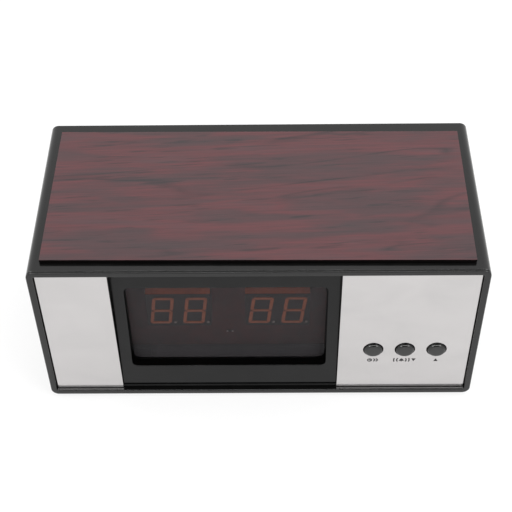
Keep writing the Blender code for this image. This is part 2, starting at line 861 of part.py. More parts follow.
def back_cover(look):
    """The rear wall with the battery hole, the socket hole and its cradle, sound slots and screw seats."""
    outline = rounded_rectangle(cover_left, cover_right, cover_bottom, cover_top, cover_corner_radius)
    sheet = bar(outline, cover_inner_depth, cover_outer_depth)
    socket_x, socket_z = place_on_cover(socket_place_shares)
    half_width = socket_width / 2 + part_gap
    half_height = socket_height / 2 + part_gap
    cradle = cut(block(socket_x - half_width - cradle_wall, socket_x + half_width + cradle_wall,
                       cover_inner_depth - cradle_depth, cover_inner_depth + cover_thickness / 2,
                       socket_z - half_height - cradle_wall, socket_z + half_height + cradle_wall),
                 [block(socket_x - half_width, socket_x + half_width, cover_inner_depth - cradle_depth - overrun,
                        cover_inner_depth + cover_thickness, socket_z - half_height, socket_z + half_height)])
    body = fused(sheet, [cradle])
    cap_x, cap_z = place_on_cover(cap_place_shares)
    hole_radius = battery_cap_radius + part_gap
    front = cover_inner_depth - overrun
    back = cover_outer_depth + overrun
    hole = fused(peg(cap_x, cap_z, hole_radius, front, back, fine_round_steps),
                 [cap_lug(cap_x, cap_z, cap_notch_turn, front - overrun, back + overrun,
                          hole_radius + lug_reach, lug_width + 2 * part_gap)])
    holes = [hole, peg(socket_x, socket_z, socket_nose_radius + part_gap, front, back)]
    slot_x, slot_z = place_on_cover(sound_slot_place_shares)
    for index in range(sound_slot_count):
        low = slot_z + (index - sound_slot_count / 2) * sound_slot_pitch
        holes.append(bar(rounded_rectangle(slot_x - sound_slot_length / 2, slot_x + sound_slot_length / 2, low,
                                           low + sound_slot_width, sound_slot_width / 2 - part_gap / 2, 3),
                         front, back))
    for x, z in rear_post_places():
        holes.append(peg(x, z, case_screw_head_radius + part_gap, counterbore_floor, back))
        holes.append(peg(x, z, case_pilot_radius, front, counterbore_floor + overrun / 2, round_steps // 2))
    node("back_cover", cut(body, holes), look)


def battery_cap(look):
    """The round cap over the cell. It turns about its own axis until its lugs meet the notches."""
    x, z = place_on_cover(cap_place_shares)
    lug_back = cover_inner_depth - part_gap
    lug_front = lug_back - lug_depth
    edge = battery_cap_edge_radius
    disc = turned([(0, lug_front), (battery_cap_radius, lug_front), (battery_cap_radius, cover_outer_depth - edge),
                   (battery_cap_radius - edge, cover_outer_depth), (0, cover_outer_depth)], x, z, fine_round_steps)
    lugs = cap_lug(x, z, 0, lug_front + part_gap / 3, lug_back, battery_cap_radius + lug_reach, lug_width)
    slot = rounded_rectangle(x - coin_slot_length / 2, x + coin_slot_length / 2, z - coin_slot_width / 2,
                             z + coin_slot_width / 2, coin_slot_width / 3, 3)
    body = cut(fused(disc, [lugs]), [bar(slot, cover_outer_depth - coin_slot_depth, cover_outer_depth + overrun)])
    node("battery_cap", body, look, (x, y_at(cover_outer_depth), z))


def coin_cell(holder_look, cell_look, contact_look):
    """The cell behind the cap, in a round holder against the inside of the back cover."""
    x, z = place_on_cover(cap_place_shares)
    cell_back = cover_inner_depth - part_gap - lug_depth - part_gap
    cell_front = cell_back - cell_thickness
    contact_back = cell_front - part_gap
    contact_front = contact_back - contact_thickness
    floor = contact_front - part_gap
    wide = battery_cap_radius + lug_reach + part_gap * 2
    snug = cell_radius + part_gap * 2
    rim = cover_inner_depth - part_gap
    holder = turned([(0, floor - holder_floor), (wide + holder_wall, floor - holder_floor),
                     (wide + holder_wall, rim), (wide, rim), (wide, cell_back), (snug, cell_back),
                     (snug, floor), (0, floor)], x, z, fine_round_steps)
    notch_reach = snug + contact_thickness + part_gap
    side_notch = block(x, x + notch_reach, floor, cell_back + overrun, z - side_contact_width / 2 - part_gap,
                       z + side_contact_width / 2 + part_gap)
    node("coin_cell_holder", cut(holder, [side_notch]), holder_look)
    edge = cell_thickness / 8
    cell = turned([(0, cell_front), (cell_radius * 9 / 10, cell_front), (cell_radius, cell_front + edge),
                   (cell_radius, cell_back - edge), (cell_radius - edge, cell_back), (0, cell_back)],
                  x, z, fine_round_steps)
    node("coin_cell", cell, cell_look)
    side = cell_radius + part_gap
    node("cell_front_contact", peg(x, z, contact_radius, contact_front, contact_back), contact_look)
    strip = block(x + side, x + side + contact_thickness, contact_front, cell_back,
                  z - side_contact_width / 2, z + side_contact_width / 2)
    node("cell_side_contact", strip, contact_look)


def power_socket(look):
    """The barrel inlet: a block with a round nose, a bore and a centre pin."""
    x, z = place_on_cover(socket_place_shares)
    back = cover_inner_depth - part_gap
    front = back - socket_depth
    body = fused(block(x - socket_width / 2, x + socket_width / 2, front, back,
                       z - socket_height / 2, z + socket_height / 2),
                 [peg(x, z, socket_nose_radius, back - overrun, cover_outer_depth)])
    floor = cover_outer_depth - socket_bore_depth
    ring = cut(peg(x, z, socket_bore_radius, floor, cover_outer_depth + overrun),
               [peg(x, z, socket_pin_radius, floor - overrun, floor + socket_pin_length, round_steps // 2)])
    node("power_socket", cut(body, [ring]), look)


def lead(name, look, start, end):
    """A thin two-core lead from a rear part to a plug on the main board, with a soft sag between."""
    curve = bpy.data.curves.new(name, "CURVE")
    curve.dimensions = "3D"
    curve.bevel_depth = lead_radius
    curve.bevel_resolution = 2
    curve.use_fill_caps = True
    spline = curve.splines.new("POLY")
    spline.points.add(lead_point_count - 1)
    for index, point in enumerate(spline.points):
        share = index / (lead_point_count - 1)
        ease = share * share * (3 - 2 * share)
        x = start[0] + (end[0] - start[0]) * ease
        y = start[1] + (end[1] - start[1]) * share
        z = start[2] + (end[2] - start[2]) * ease - lead_sag * math.sin(math.pi * ease) ** 2
        point.co = (x, y, z, 1)
    curve.materials.append(look)
    item = bpy.data.objects.new(name, curve)
    bpy.context.scene.collection.objects.link(item)


def leads(look):
    plug_end = parts_depth + connector_depth + part_gap
    x, z = place_on_cover(socket_place_shares)
    socket_front = cover_inner_depth - part_gap - socket_depth - part_gap
    plug_x, plug_z = place_on_board(power_plug_place_shares)
    lead("power_lead", look, (x, y_at(socket_front), z), (plug_x, y_at(plug_end), plug_z))
    x, z = place_on_cover(cap_place_shares)
    stack = lug_depth + cell_thickness + contact_thickness + holder_floor + part_gap * 5
    plug_x, plug_z = place_on_board(cell_plug_place_shares)
    lead("battery_lead", look, (x, y_at(cover_inner_depth - stack), z), (plug_x, y_at(plug_end), plug_z))


def rubber_feet(look):
    """Four round feet, each in a shallow pocket under the case."""
    x, y = foot_places()[0]
    outlines = ((foot_radius - foot_edge_radius, 0), (foot_radius, foot_edge_radius),
                (foot_radius, foot_thickness))
    foot = loft([[(x + across, y + along, height) for across, along in circle(0, 0, radius)]
                 for radius, height in outlines])
    spots = [(x, y, 0) for x, y in foot_places()]
    copies("rubber_foot", node("rubber_foot", foot, look, spots[0]), spots)


def build():
    clear_scene()
    black_plastic = finish("black_plastic", (0.045, 0.045, 0.045), 0.42)
    surround_black = finish("surround_black", (0.035, 0.035, 0.036), 0.35)
    bright_plate = finish("bright_plate", (0.62, 0.61, 0.60), 0.25, 1.0)
    smoked = finish("smoked_acrylic", (0.03, 0.026, 0.03), 0.08)
    wood = finish("wood_film", (0.12, 0.045, 0.045), 0.38)
    module = finish("led_module_body", (0.16, 0.06, 0.04), 0.5)
    small_led = finish("small_leds", (0.5, 0.45, 0.4), 0.35)
    board = finish("board_brown", (0.16, 0.08, 0.05), 0.5)
    chip = finish("moulded_black", (0.02, 0.02, 0.02), 0.5)
    tin = finish("tinned_steel", (0.6, 0.6, 0.6), 0.3, 1.0)
    steel = finish("screw_steel", (0.4, 0.4, 0.42), 0.35, 1.0)
    sleeve_blue = finish("capacitor_sleeve", (0.02, 0.03, 0.1), 0.4)
    cream = finish("cream_nylon", (0.7, 0.66, 0.55), 0.5)
    cap = finish("button_plastic", (0.08, 0.08, 0.078), 0.4)
    nylon = finish("switch_nylon", (0.05, 0.05, 0.05), 0.5)
    insulation = finish("wire_insulation", (0.03, 0.03, 0.03), 0.55)
    rubber = finish("foot_rubber", (0.03, 0.03, 0.03), 0.8)
    case_sleeve(black_plastic)
    front_bezel(black_plastic)
    face_plates(bright_plate)
    display_surround(surround_black)
    display_window(smoked)
    wood_top_panel(wood)
    led_modules(module)
    indicator_led(small_led)
    main_board(board)
    board_parts(chip, tin, sleeve_blue, cream)
    switch_keys(cap, nylon)
    button_switches(nylon)
    button_board(board, nylon)
    screws(steel)
    back_cover(black_plastic)
    battery_cap(black_plastic)
    coin_cell(nylon, tin, tin)
    power_socket(nylon)
    leads(insulation)
    rubber_feet(rubber)


build()
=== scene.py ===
# %% [markdown]
# A desk alarm clock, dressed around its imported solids.
# The solids give the sizes, the bodies and the joints. This file gives the clock its finer edges, its finishes,
# a camera and a studio, one step to a cell. Lengths are in metres, and depths run back from the front face.

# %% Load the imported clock
import json
import math

import bmesh
import bpy
from mathutils import Matrix, Vector


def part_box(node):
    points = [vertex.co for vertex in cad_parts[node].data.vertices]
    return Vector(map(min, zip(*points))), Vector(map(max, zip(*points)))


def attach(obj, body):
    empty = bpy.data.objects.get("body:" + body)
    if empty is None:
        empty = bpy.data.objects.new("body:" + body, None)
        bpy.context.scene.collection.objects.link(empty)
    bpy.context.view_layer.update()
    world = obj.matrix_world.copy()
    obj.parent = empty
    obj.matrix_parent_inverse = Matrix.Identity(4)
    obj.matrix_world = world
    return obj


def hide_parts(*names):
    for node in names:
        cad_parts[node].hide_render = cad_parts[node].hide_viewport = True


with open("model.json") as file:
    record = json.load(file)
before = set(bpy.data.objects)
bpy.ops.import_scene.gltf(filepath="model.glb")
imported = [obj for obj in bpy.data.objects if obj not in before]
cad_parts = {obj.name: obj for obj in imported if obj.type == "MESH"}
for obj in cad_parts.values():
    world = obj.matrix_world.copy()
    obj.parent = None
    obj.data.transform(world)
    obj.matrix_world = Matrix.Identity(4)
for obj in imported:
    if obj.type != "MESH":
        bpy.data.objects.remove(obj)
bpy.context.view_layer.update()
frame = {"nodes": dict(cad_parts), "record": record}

MM = 0.001

# %% [markdown]
# The camera looks down on the clock from in front, a little from the right, as somebody who stands at the desk does.
# It could be aimed with a constraint, but a matrix says exactly where its right, its up and its view run.

# %% Camera
camera_place = Vector((0.004887, -0.320698, 0.383794))
camera_pitch, camera_yaw, camera_roll = 0.8222245, -0.0193519, -0.0197092
camera_lens = 83.764

forward = Vector((math.sin(camera_yaw) * math.cos(camera_pitch), math.cos(camera_yaw) * math.cos(camera_pitch),
                  -math.sin(camera_pitch)))
level = Vector((math.cos(camera_yaw), -math.sin(camera_yaw), 0))
plumb = level.cross(forward)
right = math.cos(camera_roll) * level + math.sin(camera_roll) * plumb
up = math.cos(camera_roll) * plumb - math.sin(camera_roll) * level
camera_data = bpy.data.cameras.new("studio_camera")
camera_data.lens = camera_lens
camera_data.sensor_width = 36
camera = bpy.data.objects.new("studio_camera", camera_data)
camera.matrix_world = Matrix.Translation(camera_place) @ Matrix((right, up, -forward)).transposed().to_4x4()
bpy.context.scene.collection.objects.link(camera)
bpy.context.scene.camera = camera

# %% [markdown]
# Every finish is a node tree, so one short helper adds a node, sets its options and fills its inputs.
# The same helper serves materials and Geometry Nodes, because both are trees.

# %% Node helpers


def add(tree, kind, inputs=None, **settings):
    """Add a node. An input is given a number, a colour, a link, or a list of links."""
    node = tree.nodes.new(kind)
    for name, value in settings.items():
        setattr(node, name, value)
    for name, value in (inputs or {}).items():
        socket = node.inputs[name]
        links = value if isinstance(value, list) else [value]
        if isinstance(links[0], bpy.types.NodeSocket):
            for link in links:
                tree.links.new(link, socket)
        else:
            socket.default_value = value
    return node


def noise(tree, size, stretch=(1, 1, 1), turn=0.0, detail=3.0, warp=0.0):
    """Cloudy noise on the object's own coordinates. Its patches are about size across, times the stretch."""
    place = add(tree, "ShaderNodeTexCoord").outputs["Object"]
    laid = add(tree, "ShaderNodeMapping", {"Vector": place, "Rotation": (0, 0, turn), "Scale": stretch},
               vector_type="TEXTURE").outputs["Vector"]
    return add(tree, "ShaderNodeTexNoise", {"Vector": laid, "Scale": 1 / size, "Detail": detail,
                                            "Distortion": warp}).outputs["Fac"]


def ranged(tree, value, low, high, start=0.35, end=0.65):
    """A number that goes from low to high as the value goes from start to end."""
    return add(tree, "ShaderNodeMapRange", {"Value": value, "From Min": start, "From Max": end,
                                            "To Min": low, "To Max": high}).outputs["Result"]


def ramp(tree, value, *stops):
    """A colour from stops of (position, colour)."""
    made = add(tree, "ShaderNodeValToRGB", {"Fac": value})
    elements = made.color_ramp.elements
    while len(elements) < len(stops):
        elements.new(0.5)
    for element, (position, colour) in zip(elements, stops):
        element.position = position
        element.color = (*colour, 1)
    return made.outputs["Color"]


def bumped(tree, height, distance, strength=1.0):
    return add(tree, "ShaderNodeBump", {"Height": height, "Distance": distance,
                                        "Strength": strength}).outputs["Normal"]


def finish(name, **constants):
    """A new material, its tree and its shader. Numbers that are the same all over sit on the shader."""
    made = bpy.data.materials.new(name)
    made.use_nodes = True
    shader = made.node_tree.nodes["Principled BSDF"]
    for socket, value in constants.items():
        shader.inputs[socket.replace("_", " ")].default_value = value
    return made, made.node_tree, shader


def scaled(colour, factor):
    return tuple(min(share * factor, 1) for share in colour)


def moulded(name, colour, roughness, mottle=0.12, patch=7 * MM, grain=0.3 * MM, relief=0.006 * MM, **constants):
    """A moulded or sheet finish: a colour that drifts a little, and a fine grain in its gloss and its surface."""
    made, tree, shader = finish(name, **constants)
    colours = ramp(tree, noise(tree, patch, detail=5.0), (0.35, scaled(colour, 1 - mottle)),
                   (0.65, scaled(colour, 1 + mottle)))
    fine = noise(tree, grain)
    tree.links.new(colours, shader.inputs["Base Color"])
    tree.links.new(ranged(tree, noise(tree, patch / 3), roughness * 0.88, roughness * 1.12),
                   shader.inputs["Roughness"])
    tree.links.new(bumped(tree, fine, relief), shader.inputs["Normal"])
    return made


# %% [markdown]
# The studio is a pale floor in a white light tent, with a large soft lamp overhead. The tent has a dark mouth where
# the photographer stands, and glossy rounded edges mirror it as a thin dark line. That gives black plastic its shape.
# The mouth is painted on the sky by direction: the closer a direction is to its middle, the darker it is. The floor
# is a light table, so it stays white under the clock, and two side lamps reach in through the dark window. A wide
# strip above the camera lights nothing by itself: only glossy edges mirror it, as the bright arc on each button. The
# overhead lamp is the other way round, and no surface mirrors it.

# %% Studio
bpy.context.scene.view_settings.view_transform = "Standard"
sky_strength, mouth_strength = 1.05, 0.04
mouth_direction = Vector((0, -0.65, 0.76)).normalized()
mouth_inner, mouth_outer = math.radians(34), math.radians(57)
mouth_narrowing = 1.8
floor_reach, floor_glow = 3.0, 0.8
lamps = {"overhead_lamp": ((0.22, 0.05, 1.0), (0, 0, 0), 0.7, 0.7, 5.9),
         "left_lamp": ((-0.8, -0.75, 0.75), (math.radians(54), 0, math.radians(-47)), 0.5, 0.5, 5.0),
         "right_lamp": ((0.8, -0.75, 0.75), (math.radians(54), 0, math.radians(47)), 0.5, 0.5, 5.0),
         "strip_lamp": ((0, -0.72, 0.87), (math.radians(39.5), 0, 0), 1.0, 0.2, 6.0)}

sky = bpy.data.worlds.new("white_tent")
sky.use_nodes = True
tree = sky.node_tree
background = tree.nodes["Background"]
background.inputs["Color"].default_value = (1, 1, 1, 1)
direction = add(tree, "ShaderNodeVectorMath", {0: add(tree, "ShaderNodeVectorMath", {
    0: add(tree, "ShaderNodeTexCoord").outputs["Generated"], 1: (mouth_narrowing, 1, 1)},
    operation="MULTIPLY").outputs["Vector"]}, operation="NORMALIZE").outputs["Vector"]
closeness = add(tree, "ShaderNodeVectorMath", {0: direction, 1: mouth_direction},
                operation="DOT_PRODUCT").outputs["Value"]
tree.links.new(add(tree, "ShaderNodeMapRange", {
    "Value": closeness, "From Min": math.cos(mouth_outer), "From Max": math.cos(mouth_inner), "To Min": sky_strength,
    "To Max": mouth_strength}, interpolation_type="SMOOTHSTEP").outputs["Result"], background.inputs["Strength"])
bpy.context.scene.world = sky

for name, (place, turn, width, height, power) in lamps.items():
    lamp_data = bpy.data.lights.new(name, "AREA")
    lamp_data.shape = "RECTANGLE"
    lamp_data.size, lamp_data.size_y, lamp_data.energy = width, height, power
    lamp = bpy.data.objects.new(name, lamp_data)
    lamp.location, lamp.rotation_euler = place, turn
    lamp.visible_diffuse, lamp.visible_glossy = name != "strip_lamp", name != "overhead_lamp"
    bpy.context.scene.collection.objects.link(lamp)

floor_mesh = bpy.data.meshes.new("floor")
floor_mesh.from_pydata([(x * floor_reach, y * floor_reach, 0) for x, y in ((-1, -1), (1, -1), (1, 1), (-1, 1))],
                       [], [(0, 1, 2, 3)])
floor_mesh.materials.append(moulded("pale_floor", (0.2, 0.2, 0.2), 0.7, mottle=0.01, patch=0.2, IOR=1.1,
                                    Emission_Color=(1, 1, 1, 1), Emission_Strength=floor_glow))
floor = bpy.data.objects.new("floor", floor_mesh)
bpy.context.scene.collection.objects.link(floor)
print("lamps", sorted(lamps))

# %% [markdown]
# The case is a box of moulded shells, so most shapes here are outlines that face the front and are lofted back.
# Bevels on a plain box could give round edges too, but an outline keeps each radius at its real size.

# %% Shape helpers
front_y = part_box("front_bezel")[0].y
sleeve_low, sleeve_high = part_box("case_sleeve")
side_x, case_bottom, case_top = sleeve_high.x, sleeve_low.z, sleeve_high.z
gap = 0.3 * MM
past = 1 * MM
near = 0.01 * MM
corner_steps = 12


def quarter(steps):
    return [math.pi / 2 * step / steps for step in range(steps + 1)]


def rounded(left, right, low, high, radius, steps=corner_steps):
    """A rounded rectangle that runs anticlockwise from its lower right corner."""
    centres = ((right - radius, low + radius, -90), (right - radius, high - radius, 0),
               (left + radius, high - radius, 90), (left + radius, low + radius, 180))
    return [(x + radius * math.cos(math.radians(start) + turn), z + radius * math.sin(math.radians(start) + turn))
            for x, z, start in centres for turn in quarter(steps)]


def case_outline(inset, radius):
    return rounded(-side_x + inset, side_x - inset, case_bottom + inset, case_top - inset, radius)


def ring(outline, depth):
    return [(x, front_y + depth, z) for x, z in outline]


def loft(rings):
    """A closed solid through rings that have the same number of points."""
    shape = bmesh.new()
    rows = [[shape.verts.new(point) for point in points] for points in rings]
    for lower, upper in zip(rows, rows[1:]):
        for index in range(len(lower)):
            after = (index + 1) % len(lower)
            shape.faces.new((lower[index], lower[after], upper[after], upper[index]))
    shape.faces.new(rows[0])
    shape.faces.new(rows[-1])
    bmesh.ops.recalc_face_normals(shape, faces=shape.faces)
    return shape


def bar(outline, front, back):
    return loft([ring(outline, front), ring(outline, back)])


def block(left, right, front, back, low, high):
    return bar([(left, low), (right, low), (right, high), (left, high)], front, back)


def circle(x, z, radius, steps=32):
    return [(x + radius * math.cos(2 * math.pi * step / steps), z + radius * math.sin(2 * math.pi * step / steps))
            for step in range(steps)]


def peg(x, z, radius, front, back, steps=32):
    return bar(circle(x, z, radius, steps), front, back)


def turned(profile, x, z, steps=64):
    """A solid turned about an axis that runs front to back, from (radius, depth) pairs that start and end on it."""
    shape = bmesh.new()
    rows = [[shape.verts.new(point) for point in ring(circle(x, z, radius, steps) if radius else [(x, z)], depth)]
            for radius, depth in profile]
    for lower, upper in zip(rows, rows[1:]):
        for index in range(steps):
            after = (index + 1) % steps
            corners = [lower[index % len(lower)], lower[after % len(lower)],
                       upper[after % len(upper)], upper[index % len(upper)]]
            shape.faces.new(list(dict.fromkeys(corners)))
    bmesh.ops.recalc_face_normals(shape, faces=shape.faces)
    return shape


def combined(base, others, operation):
    """The base after the other solids are added to it (UNION) or cut out of it (DIFFERENCE), one after another."""
    items = []
    for shape in [base, *others]:
        mesh = bpy.data.meshes.new("temporary")
        shape.to_mesh(mesh)
        shape.free()
        items.append(bpy.data.objects.new("temporary", mesh))
        bpy.context.scene.collection.objects.link(items[-1])
    for other in items[1:]:
        modifier = items[0].modifiers.new("combine", "BOOLEAN")
        modifier.operation, modifier.solver, modifier.object = operation, "EXACT", other
    mesh = bpy.data.meshes.new_from_object(items[0].evaluated_get(bpy.context.evaluated_depsgraph_get()))
    result = bmesh.new()
    result.from_mesh(mesh)
    for item in items:
        bpy.data.objects.remove(item, do_unlink=True)
    return result


def fused(base, others):
    return combined(base, others, "UNION")


def cut(base, others):
    return combined(base, others, "DIFFERENCE")


def soften(shape, width, chosen, steps=2):
    """Round off the sharp edges whose ends a test picks by their place."""
    shape.normal_update()
    edges = [edge for edge in shape.edges if len(edge.link_faces) == 2
             and edge.calc_face_angle(0) > math.radians(40) and all(chosen(end.co) for end in edge.verts)]
    bmesh.ops.bevel(shape, geom=edges, offset=width, offset_type="OFFSET", segments=steps, profile=0.5,
                    affect="EDGES", clamp_overlap=False)
    return shape


def settle(item, nodes=(), body="case"):
    """Shade a piece smoothly, make its mesh plain, and set it on its body in place of its CAD nodes."""
    item.data.shade_smooth()
    item.data.set_sharp_from_angle(angle=math.radians(32))
    modifier = item.modifiers.new("even_shading", "WEIGHTED_NORMAL")
    modifier.keep_sharp = True
    item.data = bpy.data.meshes.new_from_object(item.evaluated_get(bpy.context.evaluated_depsgraph_get()))
    item.data.name = item.name
    item.modifiers.clear()
    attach(item, body)
    if nodes:
        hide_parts(*nodes)
    print(item.name, "has", len(item.data.polygons), "faces and stands for", len(nodes), "nodes")
    return item


def piece(name, shape, looks, nodes=(), body="case"):
    """A finished piece from a shape, with one look or a list of looks that its faces number."""
    mesh = bpy.data.meshes.new(name)
    shape.to_mesh(mesh)
    shape.free()
    for look in looks if isinstance(looks, list) else [looks]:
        mesh.materials.append(look)
    item = bpy.data.objects.new(name, mesh)
    bpy.context.scene.collection.objects.link(item)
    return settle(item, nodes, body)


# %% [markdown]
# The case and the front frame are moulded in black plastic with a fine spark-eroded grain. On the real clock nearly
# all of its grey is the white room mirrored in the satin surface, so the colour itself is almost black.

# %% Black plastic
black_plastic = moulded("black_plastic", (0.004, 0.004, 0.0039), 0.16, mottle=0.2, grain=0.25 * MM,
                        relief=0.002 * MM, IOR=1.47)
gloss_black = moulded("surround_black", (0.0035, 0.0035, 0.0036), 0.2, mottle=0.2, grain=0.18 * MM,
                      relief=0.0015 * MM, IOR=1.34)
print("black finishes", black_plastic.name, gloss_black.name)

# %% [markdown]
# The sleeve is one moulding: four walls with a rounded rear edge, a lap at the front that the frame slides into,
# posts and lugs for the screws, and a shallow pocket for each foot. Solid shapes cut and joined keep it closed.

# %% Case sleeve
rim_depth = 0.8 * MM
seam = 0.2 * MM
sleeve_front = rim_depth + seam
case_depth = sleeve_high.y - front_y
corner_radius = 3 * MM
wall = 2.2 * MM
rear_radius = 0.5 * MM
front_radius = 0.15 * MM
lap_wall, lap_depth = 1.1 * MM, 5 * MM
post_size, post_front, post_back = 8.5 * MM, 61.8 * MM, 75.8 * MM
lug_front, lug_back, lug_reach, lug_half = 9 * MM, 11.5 * MM, 10 * MM, 4 * MM
boss_x, boss_heights = side_x - 8.5 * MM, (case_bottom + 9 * MM, case_top - 9 * MM)
cover_low, cover_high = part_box("back_cover")
cover_face = cover_high.y - front_y
cover_screw_x = side_x - wall - post_size / 2
cover_screw_heights = (case_bottom + wall + post_size / 2, case_top - wall - post_size / 2)
screw_hole = 1.7 * MM
seat_depth = cover_face - 1.8 * MM
foot_radius = 5 * MM
foot_x, foot_y = side_x - 14 * MM, case_depth / 2 - 12 * MM


def grid(across, heights):
    return [(x, z) for x in across for z in heights]


rings = [ring(case_outline(front_radius, corner_radius - front_radius), sleeve_front),
         ring(case_outline(0, corner_radius), sleeve_front + front_radius)]
for angle in quarter(6):
    inset = rear_radius * (1 - math.cos(angle))
    rings.append(ring(case_outline(inset, corner_radius - inset),
                      case_depth - rear_radius * (1 - math.sin(angle))))
shell = cut(loft(rings), [bar(case_outline(wall, corner_radius - wall), sleeve_front - past, case_depth + past),
                          bar(case_outline(lap_wall, corner_radius - lap_wall), sleeve_front - past,
                              sleeve_front + lap_depth)])
wall_middle, inner_x = side_x - wall / 2, side_x - wall
inside = []
for side in (-1, 1):
    for z, toward in zip(cover_screw_heights, (-1, 1)):
        left, right_end = sorted((side * wall_middle, side * (inner_x - post_size)))
        low, high = sorted((z + toward * (post_size / 2 + wall / 2), z - toward * post_size / 2))
        inside.append(block(left, right_end, post_front, post_back, low, high))
    for z in boss_heights:
        left, right_end = sorted((side * wall_middle, side * (inner_x - lug_reach)))
        inside.append(block(left, right_end, lug_front, lug_back, z - lug_half, z + lug_half))
holes = [peg(x, z, screw_hole, seat_depth - 8 * MM, seat_depth + past)
         for x, z in grid((-cover_screw_x, cover_screw_x), cover_screw_heights)]
holes += [peg(x, z, screw_hole, lug_front - past, lug_back + past) for x, z in grid((-boss_x, boss_x), boss_heights)]
for x in (-foot_x, foot_x):
    for y in (-foot_y, foot_y):
        outline = circle(x, y, foot_radius + gap, 48)
        holes.append(loft([[(a, b, height) for a, b in outline] for height in (case_bottom - past,
                                                                              case_bottom + 0.8 * MM)]))
piece("case_shell", cut(fused(shell, inside), holes), black_plastic, ["case_sleeve"])

# %% [markdown]
# The front frame is a rim with a rounded front, around a shallow tray. The face plates lie in the tray on a web,
# and the web has the opening for the display, three button holes and the posts that carry the boards.

# %% Front frame
rim_width, rim_outer, rim_inner, rim_inner_corner = 2.4 * MM, 0.55 * MM, 0.5 * MM, 0.8 * MM
tray_floor = 2.7 * MM
web_back = tray_floor + 2 * MM
surround_low, surround_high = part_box("display_surround")
plate_left_low, plate_left_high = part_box("left_face_plate")
plate_right_low, plate_right_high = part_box("right_face_plate")
surround_left, surround_right = plate_left_high.x + gap, plate_right_low.x - gap
button_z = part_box("set_button")[0].z + 4.75 * MM
button_places = [(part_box(f"{name}_button")[0].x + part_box(f"{name}_button")[1].x) / 2
                 for name in ("set", "alarm", "up")]
button_hole = 3.85 * MM
board_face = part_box("main_board")[0].y - front_y
button_board_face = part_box("button_board")[0].y - front_y
board_low, board_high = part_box("main_board")
post_places = grid((board_low.x + 4.8 * MM, board_high.x - 4.8 * MM),
                   (board_low.z + 5 * MM, board_high.z - 5 * MM))
button_middle = button_places[1]
button_posts = [(button_middle + side * 6 * MM, button_z + 4.35 * MM) for side in (-1, 1)]
wing_screws = [(x, (surround_low.z + surround_high.z) / 2)
               for x in (surround_left - 2.5 * MM, surround_right + 2.5 * MM)]

rings = []
for angle in quarter(8):
    inset = rim_outer * (1 - math.sin(angle))
    rings.append(ring(case_outline(inset, corner_radius - inset), rim_outer * (1 - math.cos(angle))))
rings.append(ring(case_outline(0, corner_radius), rim_depth - front_radius))
rings.append(ring(case_outline(front_radius, corner_radius - front_radius), rim_depth))
skirt = case_outline(lap_wall + gap, corner_radius - lap_wall - gap)
rings += [ring(skirt, rim_depth), ring(skirt, rim_depth + lap_depth)]
mouth = rim_width - rim_inner
tray = [ring(case_outline(mouth, rim_inner_corner + rim_inner), -past)]
for angle in quarter(6):
    inset = mouth + rim_inner * math.sin(angle)
    tray.append(ring(case_outline(inset, rim_inner_corner + rim_width - inset), rim_inner * (1 - math.cos(angle))))
tray.append(ring(case_outline(rim_width, rim_inner_corner), tray_floor))
behind = bar(case_outline(rim_width, rim_inner_corner), web_back, rim_depth + lap_depth + past)
aperture = block(surround_left - gap, surround_right + gap, tray_floor - past / 2, web_back + past,
                 surround_low.z - gap, surround_high.z + gap)
posts = [peg(x, z, 3 * MM, web_back - past, lug_front - gap) for x, z in grid((-boss_x, boss_x), boss_heights)]
posts += [peg(x, z, 3 * MM, web_back - past, board_face - gap) for x, z in post_places]
posts += [peg(x, z, 2.2 * MM, web_back - past, button_board_face - gap) for x, z in button_posts]
holes = [peg(x, button_z, button_hole, tray_floor - past, web_back + past, 48) for x in button_places]
holes += [peg(x, z, screw_hole, 3.5 * MM, lug_front) for x, z in grid((-boss_x, boss_x), boss_heights)]
holes += [peg(x, z, screw_hole, board_face - 6.4 * MM, board_face) for x, z in post_places]
holes += [peg(x, z, 1.2 * MM, button_board_face - 3.7 * MM, button_board_face) for x, z in button_posts]
holes += [peg(x, z, 1.2 * MM, tray_floor - past, web_back + past) for x, z in wing_screws]
frame_shape = cut(fused(cut(loft(rings), [loft(tray), behind, aperture]), posts), holes)
piece("front_frame", frame_shape, black_plastic, ["front_bezel"])

# %% [markdown]
# The two face plates are thin bright sheet, blanked with a slight break on the edges and lightly clouded by their
# rolling. A metal shader with a slow noise in its tone and its gloss gives that without any picture.

# %% Face plates
plate_metal, tree, shader = finish("bright_plate", Metallic=1.0)
cloud = noise(tree, 16 * MM, stretch=(1.6, 1, 1), detail=4.0, warp=0.6)
rolled = noise(tree, 0.5 * MM, stretch=(14, 1, 1), detail=2.0)
tree.links.new(ramp(tree, cloud, (0.3, (0.555, 0.541, 0.538)), (0.55, (0.58, 0.563, 0.561)),
                    (0.75, (0.595, 0.579, 0.576))),
               shader.inputs["Base Color"])
tree.links.new(ranged(tree, cloud, 0.14, 0.2), shader.inputs["Roughness"])
tree.links.new(bumped(tree, rolled, 0.002 * MM), shader.inputs["Normal"])

plate_face = plate_left_low.y - front_y
plate_back = plate_left_high.y - front_y
edge_break = 0.12 * MM


def at_plate_face(place):
    return abs(place.y - front_y - plate_face) < near


for side, low, high in (("left", plate_left_low, plate_left_high), ("right", plate_right_low, plate_right_high)):
    sheet = bar(rounded(low.x, high.x, low.z, high.z, 0.25 * MM, 4), plate_face, plate_back)
    if side == "right":
        sheet = cut(sheet, [peg(x, button_z, button_hole, plate_face - past, plate_back + past, 64)
                            for x in button_places])
    piece(f"{side}_plate", soften(sheet, edge_break, at_plate_face), plate_metal,
          [f"{side}_face_plate"])

# %% [markdown]
# Each button is a turned cap with a generously rounded edge and a flange behind the web, so that it can't fall out. A
# lathe profile is the natural way to make it. The glossy rounding mirrors the strip lamp between two dark bands. Each
# cap rides on its own body, which slides back when it is pressed.

